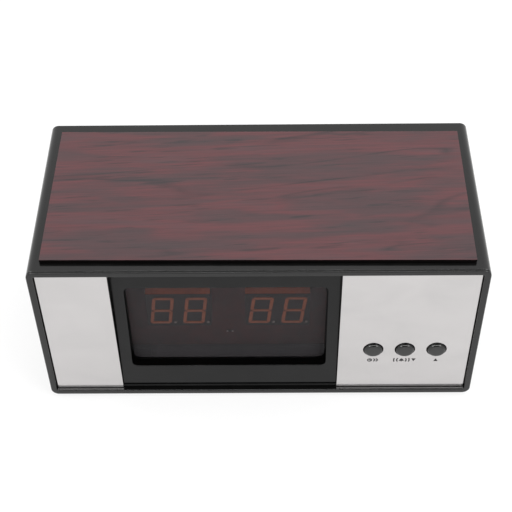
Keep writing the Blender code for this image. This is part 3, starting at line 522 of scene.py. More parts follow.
# %% Buttons
button_plastic = moulded("button_plastic", (0.0022, 0.0022, 0.002), 0.08, mottle=0.15, grain=0.2 * MM,
                         relief=0.001 * MM, IOR=1.57)
cap_radius, cap_edge, flange_radius = 3.5 * MM, 1.1 * MM, 4.75 * MM
cap_face, flange_front, flange_back, stem_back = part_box("set_button")[0].y - front_y, 5 * MM, 6 * MM, 7.9 * MM
for name, x in zip(("set", "alarm", "up"), button_places):
    profile = [(0, cap_face)]
    profile += [(cap_radius - cap_edge * (1 - math.sin(turn)), cap_face + cap_edge * (1 - math.cos(turn)))
                for turn in quarter(12)]
    profile += [(cap_radius, flange_front), (flange_radius, flange_front), (flange_radius, flange_back),
                (1.5 * MM, flange_back), (1.5 * MM, stem_back), (0, stem_back)]
    piece(f"{name}_cap", turned(profile, x, button_z), button_plastic, [f"{name}_button"],
          f"{name}_key")

# %% [markdown]
# Under the buttons stand small printed signs. They are plain pictograms of the usual kind: a clock face with two
# chevrons, a ringing bell with a triangle that points down, and a triangle that points up. Text objects could hold
# such signs, but a few outlines need no font. The ink is modelled as a very thin raised layer.

# %% Printed signs
ink = moulded("sign_ink", (0.006, 0.006, 0.0065), 0.6, mottle=0.2, patch=1 * MM, grain=0.1 * MM, relief=0.002 * MM)
ink_front, ink_back = plate_face - 0.025 * MM, plate_face - 0.003 * MM
sign_z = 20.75 * MM
sign_half = 0.95 * MM


def triangle(x, z, half, pointing):
    return [(x - half, z - pointing * half), (x, z + pointing * half), (x + half, z - pointing * half)]


def printed(outline):
    return bar(outline, ink_front, ink_back)


def arc(x, z, radius, stroke, start, end, steps=12):
    """The outline of a curved stroke around a centre, between two angles in degrees."""
    turns = [math.radians(start + (end - start) * step / steps) for step in range(steps + 1)]
    outer = [(x + (radius + stroke / 2) * math.cos(turn), z + (radius + stroke / 2) * math.sin(turn)) for turn in turns]
    inner = [(x + (radius - stroke / 2) * math.cos(turn), z + (radius - stroke / 2) * math.sin(turn)) for turn in turns]
    return outer + inner[::-1]


stroke = 0.42 * MM
clock_x = button_places[0] - 1.05 * MM
signs = [cut(printed(circle(clock_x, sign_z, sign_half, 40)),
             [bar(circle(clock_x, sign_z, sign_half - stroke, 40), ink_front - past, ink_back + past)]),
         printed([(clock_x - 0.15 * MM, sign_z - 0.15 * MM), (clock_x + 0.5 * MM, sign_z - 0.15 * MM),
                  (clock_x + 0.5 * MM, sign_z + 0.15 * MM), (clock_x + 0.15 * MM, sign_z + 0.15 * MM),
                  (clock_x + 0.15 * MM, sign_z + 0.5 * MM), (clock_x - 0.15 * MM, sign_z + 0.5 * MM)])]
for x in (button_places[0] + 0.15 * MM, button_places[0] + 1.15 * MM):
    signs.append(printed([(x, sign_z - 0.9 * MM), (x + 0.55 * MM, sign_z - 0.9 * MM), (x + 1.1 * MM, sign_z),
                          (x + 0.55 * MM, sign_z + 0.9 * MM), (x, sign_z + 0.9 * MM), (x + 0.55 * MM, sign_z)]))
bell_x = button_places[1] - 0.85 * MM
bell = [(bell_x + x * MM, sign_z + z * MM) for x, z in (
    (-1.05, -0.55), (1.05, -0.55), (1.05, -0.35), (0.72, -0.1), (0.62, 0.35), (0.38, 0.68), (0.13, 0.78), (0.13, 0.92),
    (-0.13, 0.92), (-0.13, 0.78), (-0.38, 0.68), (-0.62, 0.35), (-0.72, -0.1), (-1.05, -0.35))]
signs += [printed(bell), printed(rounded(bell_x - 0.3 * MM, bell_x + 0.3 * MM, sign_z - 0.92 * MM,
                                         sign_z - 0.66 * MM, 0.12 * MM, 3)),
          printed(triangle(button_places[1] + 3.75 * MM, sign_z, 0.85 * MM, -1)),
          printed(triangle(button_places[2] + 0.25 * MM, sign_z, 0.85 * MM, 1))]
for reach, spread in ((1.8 * MM, 34), (2.95 * MM, 21)):
    for middle in (0, 180):
        signs.append(printed(arc(bell_x, sign_z, reach, 0.5 * MM, middle - spread, middle + spread)))
sheet = bmesh.new()
for sign in signs:
    mesh = bpy.data.meshes.new("temporary")
    sign.to_mesh(mesh)
    sheet.from_mesh(mesh)
    sign.free()
piece("button_signs", sheet, ink)

# %% [markdown]
# The display surround is a glossier moulding. Its face slopes back towards the top and rolls over at the bottom,
# and its opening is cut straight back to the rebate in which the window is bonded. The walls of that opening are
# given a deeper black than the face: painted shade for the inside of the recess.

# %% Display surround
face_top, face_bottom, surround_back = 6 * MM, 1.7 * MM, 8.6 * MM
roll_radius = 2 * MM
low, high = surround_low.z, surround_high.z
window_low, window_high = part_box("display_window")
window_lap = 1.2 * MM
opening = (window_low.x + window_lap, window_high.x - window_lap,
           window_low.z + window_lap, window_high.z - window_lap)
opening_radius = 2 * MM
window_front, window_back = window_low.y - front_y, window_high.y - front_y

slope = math.atan2(face_top - face_bottom, high - low)
roll_depth = face_bottom + roll_radius * math.tan((math.pi / 2 + slope) / 2)
profile = [(surround_back, low), (surround_back, high), (face_top, high)]
for step in range(13):
    angle = (math.pi / 2 + slope) * step / 12 - slope
    profile.append((roll_depth - roll_radius * math.cos(angle), low + roll_radius - roll_radius * math.sin(angle)))
body = loft([[(x, front_y + depth, z) for depth, z in profile] for x in (surround_left, surround_right)])
body = soften(body, edge_break, lambda place: place.y - front_y < face_top + near and place.z > low + past)
wings = []
for side, edge in ((-1, surround_left), (1, surround_right)):
    for inner, front in ((edge + side * gap, web_back + gap), (edge - side * past, face_top + gap)):
        left, right_end = sorted((inner, edge + side * 5 * MM))
        wings.append(block(left, right_end, front, surround_back, low + past, high - past))
rebate = (opening[0] - window_lap - gap, opening[1] + window_lap + gap, opening[2] - window_lap - gap,
          opening[3] + window_lap + gap)
holes = [bar(rounded(*opening, opening_radius), -past, surround_back + past),
         bar(rounded(*rebate, opening_radius + window_lap + gap), window_front - gap, surround_back + past)]
holes += [peg(x, z, 1.2 * MM, web_back - past, surround_back + past) for x, z in wing_screws]
body = cut(fused(body, wings), holes)


def around_opening(place):
    return (opening[0] - 2 * gap < place.x < opening[1] + 2 * gap
            and opening[2] - 2 * gap < place.z < opening[3] + 2 * gap
            and place.y - front_y < window_front - past)


body = soften(body, 0.3 * MM, around_opening, 4)
# Faces on the opening's walls get the deeper black, which is painted shade for the recess.
for polygon in body.faces:
    in_painted_shade = abs(polygon.normal.y) < 0.2 and around_opening(polygon.calc_center_median())
    polygon.material_index = 1 if in_painted_shade else 0
# A near black with little gloss: painted shade for the walls of the opening.
painted_shade_black = moulded("opening_wall", (0.001, 0.001, 0.001), 0.12, mottle=0.2, grain=0.2 * MM, relief=0.001 * MM,
                     IOR=1.15)
piece("surround", body, [gloss_black, painted_shade_black], ["display_surround"])

# %% [markdown]
# The window is smoked acrylic, tinted all through, and it takes the light twice: once on the way in and once out.
# Refracting glass would need many samples behind it, so each of its faces lets a fixed share of the light through.
# A faint haze lies on it, painted brighter towards the lower edge: painted light that offsets the shade the ledge casts
# there.

# %% Window
smoked, tree, shader = finish("smoked_acrylic", Alpha=0.4, IOR=1.3)
haze_and_painted_light = ramp(tree, noise(tree, 9 * MM, detail=4.0), (0.35, (0.032, 0.0305, 0.0325)), (0.65, (0.0355, 0.0325, 0.035)))
height = add(tree, "ShaderNodeSeparateXYZ", {"Vector": add(tree, "ShaderNodeTexCoord").outputs["Object"]}).outputs["Z"]
# Painted light: the haze is scaled up near the opening's lower edge, to offset the shade of the ledge there.
for reach, lift_at_edge in ((9 * MM, 2.2), (0.6 * MM, 1.5)):
    painted_lift = add(tree, "ShaderNodeMapRange", {
        "Value": height, "From Min": opening[2], "From Max": opening[2] + reach, "To Min": lift_at_edge, "To Max": 1.0},
        interpolation_type="SMOOTHSTEP").outputs["Result"]
    haze_and_painted_light = add(tree, "ShaderNodeVectorMath", {0: haze_and_painted_light, "Scale": painted_lift}, operation="SCALE").outputs[0]
tree.links.new(haze_and_painted_light, shader.inputs["Base Color"])
tree.links.new(ranged(tree, noise(tree, 4 * MM), 0.3, 0.4), shader.inputs["Roughness"])
tree.links.new(bumped(tree, noise(tree, 12 * MM), 0.01 * MM), shader.inputs["Normal"])
pane = bar(rounded(window_low.x, window_high.x, window_low.z, window_high.z, opening_radius + window_lap),
           window_front, window_back)
piece("window", soften(pane, edge_break, lambda place: True), smoked, ["display_window"])

# %% [markdown]
# A thin black bead runs along the opening's walls, where the gap beside the window lies in shade. It is a painted
# shadow line down both sides.

# %% Shadow bead beside the window
shadow_bead_width, shadow_bead_height, shadow_bead_gap = 0.4 * MM, 0.2 * MM, 0.02 * MM


def inside_opening(inset, radius):
    return rounded(opening[0] + inset, opening[1] - inset, opening[2] + inset, opening[3] - inset, radius)


# The bead stands in for the shade in that gap, and it takes the same painted-shade black.
shadow_bead = bar(inside_opening(shadow_bead_gap, opening_radius), window_front - shadow_bead_height, window_front - shadow_bead_gap)
shadow_bead = cut(shadow_bead, [bar(inside_opening(shadow_bead_width, 2.8 * MM), window_front - past, window_front + past)])
piece("window_seal", shadow_bead, painted_shade_black)

# %% [markdown]
# Behind the window stand two display modules, each a red-brown block with its face painted black around the digits.
# The bars and points are the unpainted plastic that shines through when a bar is lit. Here they are off.

# %% Display modules
module_red = moulded("module_moulding", (0.92, 0.15, 0.02), 0.4, mottle=0.12, patch=3 * MM, relief=0.004 * MM)
module_face = moulded("module_face", (0.016, 0.006, 0.006), 0.45, mottle=0.15, patch=4 * MM, relief=0.003 * MM,
                     IOR=1.3)
bar_plastic = moulded("segment_plastic", (0.68, 0.155, 0.045), 0.35, mottle=0.14, patch=1.5 * MM, relief=0.003 * MM)
point_plastic = moulded("point_plastic", (0.36, 0.29, 0.27), 0.4, mottle=0.1, patch=1 * MM, relief=0.002 * MM)
module_middles = []
for side in ("left", "right"):
    low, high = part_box(f"{side}_led_module")
    relief = 0.3 * MM
    face = low.y - front_y + relief
    module_middles.append((low + high) / 2)
    shape = block(low.x, high.x, face, high.y - front_y, low.z, high.z)
    shape = soften(shape, 0.25 * MM, lambda place: True)
    for polygon in shape.faces:
        polygon.material_index = 1 if polygon.normal.y < -0.3 or abs(polygon.normal.x) > 0.5 else 0
    piece(f"{side}_module", shape, [module_red, module_face], [f"{side}_led_module"])

# %% [markdown]
# The four digits are one digit repeated, so it is drawn once as flat outlines: seven bars with mitred ends and a
# point. Geometry Nodes make it solid, copy it to four places and then lean all of it, which is a sideways shear.

# %% Geometry Nodes helpers


def new_tree(name, **sizes):
    """A tree with a geometry input, named inputs for its sizes, and one output."""
    tree = bpy.data.node_groups.new(name, "GeometryNodeTree")
    tree.interface.new_socket("Geometry", in_out="INPUT", socket_type="NodeSocketGeometry")
    for label, kind in sizes.items():
        tree.interface.new_socket(label.replace("_", " "), in_out="INPUT", socket_type=f"NodeSocket{kind}")
    tree.interface.new_socket("Geometry", in_out="OUTPUT", socket_type="NodeSocketGeometry")
    return tree, add(tree, "NodeGroupInput").outputs


def end_tree(tree, geometry, look, chosen=True):
    real = add(tree, "GeometryNodeRealizeInstances", {"Geometry": geometry}).outputs["Geometry"]
    dressed = add(tree, "GeometryNodeSetMaterial", {"Geometry": real, "Material": look, "Selection": chosen})
    add(tree, "NodeGroupOutput", {"Geometry": dressed.outputs["Geometry"]})


def sum_of(tree, operation, first, second=0.0):
    return add(tree, "ShaderNodeMath", {0: first, 1: second}, operation=operation).outputs[0]


def prism(tree, face, height):
    """A flat face made a closed solid of that height."""
    raised = add(tree, "GeometryNodeExtrudeMesh", {"Mesh": face, "Offset": (0, 0, 1), "Offset Scale": height,
                                                   "Individual": False}).outputs["Mesh"]
    under = add(tree, "GeometryNodeFlipFaces", {"Mesh": face}).outputs["Mesh"]
    both = add(tree, "GeometryNodeJoinGeometry", {"Geometry": [raised, under]}).outputs["Geometry"]
    return add(tree, "GeometryNodeMergeByDistance", {"Geometry": both, "Distance": 0.001 * MM}).outputs["Geometry"]


def grown(name, tree, points=None, **sizes):
    """The plain mesh object that a tree grows, with its faces turned outwards."""
    item = bpy.data.objects.new(name, points or bpy.data.meshes.new(name))
    bpy.context.scene.collection.objects.link(item)
    modifier = item.modifiers.new("grow", "NODES")
    modifier.node_group = tree
    for socket in tree.interface.items_tree:
        value = sizes.get(socket.name.replace(" ", "_"))
        if socket.in_out == "INPUT" and value is not None:
            modifier[socket.identifier] = value
    item.data = bpy.data.meshes.new_from_object(item.evaluated_get(bpy.context.evaluated_depsgraph_get()))
    item.modifiers.clear()
    shape = bmesh.new()
    shape.from_mesh(item.data)
    bmesh.ops.recalc_face_normals(shape, faces=shape.faces)
    shape.to_mesh(item.data)
    shape.free()
    print(name, "grew to", len(item.data.polygons), "faces")
    return item


# %% The outlines of one digit
digit_pitch, digit_height, digit_width, bar_width, bar_gap = 12.45 * MM, 14.5 * MM, 8.1 * MM, 1.2 * MM, 0.2 * MM
level_width, corner_cut = 0.95 * MM, 0.7 * MM
point_radius, point_offset = 0.5 * MM, 4.7 * MM
lean = math.tan(math.radians(7))
half_across, half_up = (digit_width - bar_width) / 2, (digit_height - level_width) / 2
half_bar, half_level, mitre_back = bar_width / 2, level_width / 2, (corner_cut + bar_gap) / 2
mitre_x, mitre_z = half_across + half_level - mitre_back, half_up + half_bar - mitre_back


def mirrored(outline, x_sign, y_sign):
    return [(x * x_sign, y * y_sign) for x, y in outline]


top_bar = [(half_across - half_bar - bar_gap, half_up - half_level), (mitre_x, mitre_z + bar_gap),
           (half_across + half_bar - corner_cut, half_up + half_level)]
top_bar += mirrored(top_bar[::-1], -1, 1)
side_bar = [(half_across, bar_gap * 1.5), (half_across + half_bar, bar_gap * 1.5 + half_bar * 0.6),
            (half_across + half_bar, half_up + half_level - corner_cut), (mitre_x + bar_gap, mitre_z),
            (half_across - half_bar, half_up - half_level - bar_gap), (half_across - half_bar, bar_gap + half_level)]
middle_bar = [(half_across - bar_gap, 0), (half_across - bar_gap - half_level, half_level)]
middle_bar += mirrored(middle_bar[::-1], -1, 1)
middle_bar += mirrored(middle_bar[1:3][::-1], 1, -1)
low_y = -digit_height / 2 + point_radius
outlines = [top_bar, mirrored(top_bar, 1, -1), middle_bar,
            circle(point_offset - low_y * lean, low_y, point_radius, 16)]
outlines += [mirrored(side_bar, x_sign, y_sign) for x_sign in (-1, 1) for y_sign in (-1, 1)]
flat_digit = bmesh.new()
for outline in outlines:
    flat_digit.faces.new([flat_digit.verts.new((x, y, 0)) for x, y in outline])
for face in flat_digit.faces:
    face.normal_update()
    if face.normal.z < 0:
        face.normal_flip()
digit_mesh = bpy.data.meshes.new("flat_digit")
flat_digit.to_mesh(digit_mesh)
flat_digit.free()
digit_mesh.attributes.new("is_point", "BOOLEAN", "FACE").data.foreach_set(
    "value", [index == 3 for index in range(len(outlines))])
digit_shape = bpy.data.objects.new("flat_digit", digit_mesh)
bpy.context.scene.collection.objects.link(digit_shape)
print("one digit has", len(digit_mesh.polygons), "outlines")

# %% Four leaning digits
digits_tree, size = new_tree("leaning_digits", Digit="Object", Relief="Float", Lean="Float", Middle_Height="Float")
flat = add(digits_tree, "GeometryNodeObjectInfo", {"Object": size["Digit"]}).outputs["Geometry"]
facing = add(digits_tree, "ShaderNodeCombineXYZ", {"X": math.pi / 2}).outputs[0]
copies = add(digits_tree, "GeometryNodeInstanceOnPoints", {
    "Points": size["Geometry"], "Instance": prism(digits_tree, flat, size["Relief"]), "Rotation": facing}).outputs[0]
upright = add(digits_tree, "GeometryNodeRealizeInstances", {"Geometry": copies}).outputs[0]
height = add(digits_tree, "ShaderNodeSeparateXYZ",
             {"Vector": add(digits_tree, "GeometryNodeInputPosition").outputs[0]}).outputs["Z"]
shift = sum_of(digits_tree, "MULTIPLY", sum_of(digits_tree, "SUBTRACT", height, size["Middle Height"]), size["Lean"])
leaning = add(digits_tree, "GeometryNodeSetPosition", {
    "Geometry": upright, "Offset": add(digits_tree, "ShaderNodeCombineXYZ", {"X": shift}).outputs[0]}).outputs[0]
is_point = add(digits_tree, "GeometryNodeInputNamedAttribute", {"Name": "is_point"}, data_type="BOOLEAN").outputs[0]
bars_dressed = add(digits_tree, "GeometryNodeSetMaterial", {"Geometry": leaning, "Material": bar_plastic}).outputs[0]
end_tree(digits_tree, bars_dressed, point_plastic, is_point)

digit_places = bpy.data.meshes.new("digit_places")
digit_places.from_pydata([(middle.x + side * digit_pitch / 2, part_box("left_led_module")[0].y + relief, middle.z)
                          for middle in module_middles for side in (-1, 1)], [], [])
digits = grown("digit_bars", digits_tree, digit_places, Digit=digit_shape, Relief=relief, Lean=lean,
               Middle_Height=module_middles[0].z)
bpy.data.objects.remove(digit_shape, do_unlink=True)
settle(digits)

# %% [markdown]
# Under the digits a tiny double indicator sits on the board: two clear lenses on a dark base. Each lens is turned
# from a rounded profile, and the base is a plain block with its edges broken.

# %% Indicator
lens_clear = moulded("indicator_lens", (0.8, 0.62, 0.62), 0.25, mottle=0.1, patch=0.5 * MM, relief=0.001 * MM)
lens_base = moulded("indicator_base", (0.01, 0.004, 0.004), 0.6, mottle=0.15, patch=1 * MM, relief=0.002 * MM)
low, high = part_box("indicator_led")
low_depth, high_depth, lens_z = low.y - front_y, high.y - front_y, (low.z + high.z) / 2
lens_radius, base_depth = 0.38 * MM, 0.4 * MM
indicator = soften(block(low.x, high.x, high_depth - base_depth, high_depth, low.z, high.z),
                   0.06 * MM, lambda place: True)
for polygon in indicator.faces:
    polygon.material_index = 1
for x in (low.x + 0.4 * MM, high.x - 0.4 * MM):
    profile = [(lens_radius * math.sin(turn), low_depth + lens_radius * (1 - math.cos(turn))) for turn in quarter(6)]
    lens = turned([*profile, (lens_radius, high_depth - base_depth / 2), (0, high_depth - base_depth / 2)],
                  x, lens_z, 24)
    mesh = bpy.data.meshes.new("temporary")
    lens.to_mesh(mesh)
    lens.free()
    indicator.from_mesh(mesh)
piece("indicator", indicator, [lens_clear, lens_base], ["indicator_led"])

# %% [markdown]
# The top is a thin panel faced with a printed wood film, in a dull reddish mahogany. Long dark veins drift across it
# at a slight angle. Contour lines of one stretched noise make the veins, and finer noises make the bands and pores.
# Dark grain is greyer than the wood around it, so its red is dimmed more than its green and blue.

# %% Wood-grain panel
wood_film, tree, shader = finish("wood_film", IOR=1.45)
grain_turn, vein_turn = math.radians(2), math.radians(8)
bands = noise(tree, 7 * MM, (7, 1, 1), grain_turn, detail=6.0, warp=0.3)
streaks = noise(tree, 0.7 * MM, (40, 1, 1), grain_turn, detail=3.0)
fibres = noise(tree, 0.28 * MM, (30, 1, 1), grain_turn, detail=2.0)
contour = noise(tree, 26 * MM, (8, 1, 1), vein_turn, detail=2.5, warp=0.25)
dashes = noise(tree, 1.1 * MM, (15, 1, 1), vein_turn / 2, detail=2.0)
fading = noise(tree, 14 * MM, (2.5, 1, 1), grain_turn, detail=2.0)
colours = ramp(tree, bands, (0.3, (0.05, 0.0305, 0.033)), (0.43, (0.062, 0.0295, 0.0325)),
               (0.55, (0.088, 0.029, 0.0325)), (0.7, (0.071, 0.033, 0.0365)))
vein_distance = sum_of(tree, "ABSOLUTE", sum_of(tree, "SUBTRACT", sum_of(tree, "FRACT", sum_of(
    tree, "MULTIPLY", contour, 5.0)), 0.5))
lightest = ranged(tree, fading, 0.5, 1.0, 0.4, 0.62)
vein = add(tree, "ShaderNodeMapRange", {"Value": vein_distance, "From Min": 0.0, "From Max": 0.055, "To Min": lightest,
                                        "To Max": 1.0}).outputs["Result"]
dash = ranged(tree, dashes, 1.0, 0.6, 0.6, 0.7)
streak = ranged(tree, streaks, 0.8, 1.16, 0.3, 0.7)
fibre = ranged(tree, fibres, 0.93, 1.05, 0.3, 0.7)
shade = sum_of(tree, "MULTIPLY", sum_of(tree, "MULTIPLY", vein, dash), sum_of(tree, "MULTIPLY", streak, fibre))
greyer = sum_of(tree, "POWER", shade, 0.5)
dimming = add(tree, "ShaderNodeCombineXYZ", {"X": shade, "Y": greyer, "Z": greyer}).outputs[0]
dimmed = add(tree, "ShaderNodeVectorMath", {0: colours, 1: dimming}, operation="MULTIPLY").outputs[0]
tree.links.new(dimmed, shader.inputs["Base Color"])
tree.links.new(ranged(tree, streaks, 0.34, 0.42), shader.inputs["Roughness"])
tree.links.new(bumped(tree, fibres, 0.004 * MM), shader.inputs["Normal"])
# The side faces are near black. Part of that is the panel's own dark edge, and part is painted shade for the shadow
# under its front edge.
panel_edge = moulded("panel_edge", (0.0015, 0.0008, 0.0008), 0.7, mottle=0.25, patch=1.5 * MM,
                      relief=0.01 * MM, IOR=1.15)

panel_low, panel_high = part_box("wood_top_panel")
panel_size = (155.2 * MM, 68.6 * MM)
panel_turn = math.radians(-0.34)
half_x, half_y = panel_size[0] / 2, panel_size[1] / 2
outline = rounded(-half_x, half_x, -half_y, half_y, 0.3 * MM, 4)
panel = loft([[(x, y, z) for x, y in outline] for z in (panel_low.z, panel_high.z)])
panel = soften(panel, edge_break, lambda place: place.z > panel_high.z - near)
centre = (panel_low + panel_high) / 2
bmesh.ops.transform(panel, matrix=Matrix.Translation((centre.x, centre.y, 0)) @ Matrix.Rotation(panel_turn, 4, "Z"),
                    verts=panel.verts)
panel.normal_update()
for polygon in panel.faces:
    polygon.material_index = 0 if polygon.normal.z > 0.5 else 1
piece("wood_panel", panel, [wood_film, panel_edge], ["wood_top_panel"])

# %% [markdown]
# The back is a flat cover set into the sleeve, with five sound slots for the buzzer, the power inlet, the round
# battery cap and four screws. The slots are one rounded shape repeated in a row, so Geometry Nodes grow the cutter.

# %% Sound slots and back cover


def pill(tree, length, width, height):
    """A closed bar with rounded ends, lying flat with its length along X."""
    outline = add(tree, "GeometryNodeCurvePrimitiveQuadrilateral", {"Width": length, "Height": width}).outputs[0]
    eased = add(tree, "GeometryNodeFilletCurve", {"Curve": outline, "Count": 6, "Radius": sum_of(
        tree, "MULTIPLY", width, 0.49)}, mode="POLY").outputs[0]
    return prism(tree, add(tree, "GeometryNodeFillCurve", {"Curve": eased}, mode="NGONS").outputs[0], height)


slots_tree, size = new_tree("slot_row", Slot_Length="Float", Slot_Width="Float", Slot_Depth="Float", Pitch="Float",
                            Count="Int")
one_slot = pill(slots_tree, size["Slot Length"], size["Slot Width"], size["Slot Depth"])
step_up = add(slots_tree, "ShaderNodeCombineXYZ", {"Y": size["Pitch"]}).outputs[0]
row = add(slots_tree, "GeometryNodeMeshLine", {"Count": size["Count"], "Offset": step_up}).outputs[0]
end_tree(slots_tree, add(slots_tree, "GeometryNodeInstanceOnPoints", {"Points": row, "Instance": one_slot}).outputs[0],
         black_plastic)

cover_inner = cover_face - 2.6 * MM
slot_count, slot_pitch, slot_width = 5, 3 * MM, 1.2 * MM
slot_place = (-41.6 * MM, 42.1 * MM)
cap_place = [(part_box("battery_cap")[0][axis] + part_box("battery_cap")[1][axis]) / 2 for axis in (0, 2)]
socket_place = [(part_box("power_socket")[0][axis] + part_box("power_socket")[1][axis]) / 2 for axis in (0, 2)]
cap_reach, cap_lug_reach, cap_lug_width = 13 * MM, 14.6 * MM, 5 * MM
nose_radius = 4 * MM

slots = grown("slots", slots_tree, Slot_Length=12 * MM, Slot_Width=slot_width, Slot_Depth=5 * MM, Pitch=slot_pitch,
              Count=slot_count)
slots_shape = bmesh.new()
slots_shape.from_mesh(slots.data)
bpy.data.objects.remove(slots, do_unlink=True)
bmesh.ops.rotate(slots_shape, verts=slots_shape.verts, matrix=Matrix.Rotation(math.pi / 2, 3, "X"))
bmesh.ops.translate(slots_shape, verts=slots_shape.verts,
                    vec=(slot_place[0], front_y + cover_face + past, slot_place[1] + slot_width / 2))


def crossbar(x, z, turn, front, back, reach, width):
    """A bar across a round part's middle, turned about the part's axis."""
    corners = ((-reach, -width / 2), (reach, -width / 2), (reach, width / 2), (-reach, width / 2))
    return bar([(x + a * math.cos(turn) - b * math.sin(turn), z + a * math.sin(turn) + b * math.cos(turn))
                for a, b in corners], front, back)


cover = bar(rounded(cover_low.x, cover_high.x, cover_low.z, cover_high.z, 0.8 * MM), cover_inner, cover_face)
cradle_x, cradle_z = 4.8 * MM, 5.8 * MM
cradle_wall, cradle_front = 1.6 * MM, cover_inner - 10 * MM
cradle = cut(block(socket_place[0] - cradle_x - cradle_wall, socket_place[0] + cradle_x + cradle_wall, cradle_front,
                   cover_inner + past, socket_place[1] - cradle_z - cradle_wall, socket_place[1] + cradle_z + cradle_wall),
             [block(socket_place[0] - cradle_x, socket_place[0] + cradle_x, cradle_front - past, cover_face,
                    socket_place[1] - cradle_z, socket_place[1] + cradle_z)])
holes = [fused(peg(*cap_place, cap_reach + gap, cover_inner - past, cover_face + past, 96),
               [crossbar(*cap_place, math.radians(-45), cover_inner - 2 * past, cover_face + 2 * past,
                         cap_lug_reach + gap, cap_lug_width + 2 * gap)]),
         peg(*socket_place, nose_radius + gap, cover_inner - past, cover_face + past, 48), slots_shape]
for x, z in grid((-cover_screw_x, cover_screw_x), cover_screw_heights):
    holes.append(peg(x, z, 3 * MM, seat_depth, cover_face + past, 48))
    holes.append(peg(x, z, screw_hole, cover_inner - past, seat_depth + past / 2))
cover = cut(fused(cover, [cradle]), holes)
cover = soften(cover, 0.18 * MM, lambda place: abs(place.y - front_y - cover_face) < near)
piece("rear_cover", cover, black_plastic, ["back_cover"])

# %% [markdown]
# The battery cap turns by a coin or a fingertip. Short ribs around its rim give a grip, and they are one rib
# repeated on a ring, so a tree with the ring's radius and the rib's sizes as named inputs makes them.

# %% Battery cap and its ribs
coin_slot = (16 * MM, 1.8 * MM, 1.4 * MM)
cap_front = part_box("battery_cap")[0].y - front_y
profile = [(0, cap_front), (cap_reach, cap_front)]
profile += [(cap_reach - 0.4 * MM * (1 - math.cos(turn)), cover_face - 0.4 * MM * (1 - math.sin(turn)))
            for turn in quarter(5)]
profile += [(9.2 * MM, cover_face), (9 * MM, cover_face - 0.25 * MM), (8.6 * MM, cover_face - 0.25 * MM),
            (8.4 * MM, cover_face), (0, cover_face)]
cap = fused(turned(profile, *cap_place, 96),
            [crossbar(*cap_place, 0, cap_front + 0.1 * MM, cap_front + 1.2 * MM, cap_lug_reach, cap_lug_width)])
half_slot = coin_slot[0] / 2
cap = cut(cap, [bar(rounded(cap_place[0] - half_slot, cap_place[0] + half_slot, cap_place[1] - coin_slot[1] / 2,
                            cap_place[1] + coin_slot[1] / 2, 0.6 * MM, 6), cover_face - coin_slot[2],
                    cover_face + past)])
piece("cell_cap", cap, black_plastic, ["battery_cap"], "cell_door")

ribs_tree, size = new_tree("rib_ring", Ring_Radius="Float", Rib_Count="Int", Rib_Length="Float", Rib_Width="Float",
                           Rib_Height="Float")
one_rib = pill(ribs_tree, size["Rib Length"], size["Rib Width"], size["Rib Height"])
around = add(ribs_tree, "GeometryNodeMeshCircle", {"Vertices": size["Rib Count"],
                                                   "Radius": size["Ring Radius"]}).outputs["Mesh"]
outwards = add(ribs_tree, "FunctionNodeAlignRotationToVector", {
    "Vector": add(ribs_tree, "GeometryNodeInputPosition").outputs[0]}, axis="X", pivot_axis="Z").outputs[0]
end_tree(ribs_tree, add(ribs_tree, "GeometryNodeInstanceOnPoints", {
    "Points": around, "Instance": one_rib, "Rotation": outwards}).outputs[0], black_plastic)
ribs = grown("cell_cap_ribs", ribs_tree, Ring_Radius=10.9 * MM, Rib_Count=32, Rib_Length=2.2 * MM,
             Rib_Width=0.7 * MM, Rib_Height=0.35 * MM)
ribs.data.transform(Matrix.Translation((cap_place[0], front_y + cover_face - 0.05 * MM, cap_place[1]))
                    @ Matrix.Rotation(-math.pi / 2, 4, "X"))
settle(ribs, body="cell_door")

# %% [markdown]
# The power inlet is a barrel socket: a nylon housing with a bore and a bright pin in its middle. The four cover
# screws are alike apart from how far each was turned, so one screw is copied to the corners of a grid with a fixed
# random turn. The four feet use the same tree without the turn.

# %% Power inlet
black_nylon = moulded("black_nylon", (0.02, 0.02, 0.02), 0.45, mottle=0.2, patch=3 * MM, relief=0.006 * MM)
contact_metal = moulded("tinned_steel", (0.62, 0.61, 0.59), 0.3, mottle=0.06, patch=2 * MM, relief=0.001 * MM,
                        Metallic=1.0)
socket_low, socket_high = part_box("power_socket")
socket_front, nose_face = socket_low.y - front_y, socket_high.y - front_y
bore_floor = nose_face - 9.5 * MM
housing = fused(block(socket_low.x, socket_high.x, socket_front, cover_inner - gap, socket_low.z, socket_high.z),
                [turned([(0, cover_inner - past), (nose_radius, cover_inner - past), (nose_radius, nose_face - 0.2 * MM),
                         (nose_radius - 0.2 * MM, nose_face), (0, nose_face)], *socket_place, 48)])
housing = cut(housing, [turned([(0, bore_floor), (2.8 * MM, bore_floor), (2.8 * MM, nose_face - 0.4 * MM),
                                (3.2 * MM, nose_face), (3.2 * MM, nose_face + past), (0, nose_face + past)],
                               *socket_place, 48)])
piece("inlet_housing", housing, black_nylon, ["power_socket"])
pin = turned([(0, bore_floor + 0.05 * MM), (1 * MM, bore_floor + 0.05 * MM), (1 * MM, bore_floor + 8 * MM),
              (0.8 * MM, bore_floor + 8.35 * MM), (0.4 * MM, bore_floor + 8.5 * MM), (0, bore_floor + 8.5 * MM)],
             *socket_place, 32)
piece("inlet_pin", pin, contact_metal)

# %% Cover screws and rubber feet
screw_metal = moulded("screw_steel", (0.32, 0.32, 0.33), 0.34, mottle=0.1, patch=1.5 * MM, relief=0.002 * MM,
                      Metallic=1.0)
foot_rubber = moulded("foot_rubber", (0.02, 0.02, 0.021), 0.75, mottle=0.15, patch=3 * MM, grain=0.2 * MM,
                      relief=0.02 * MM)


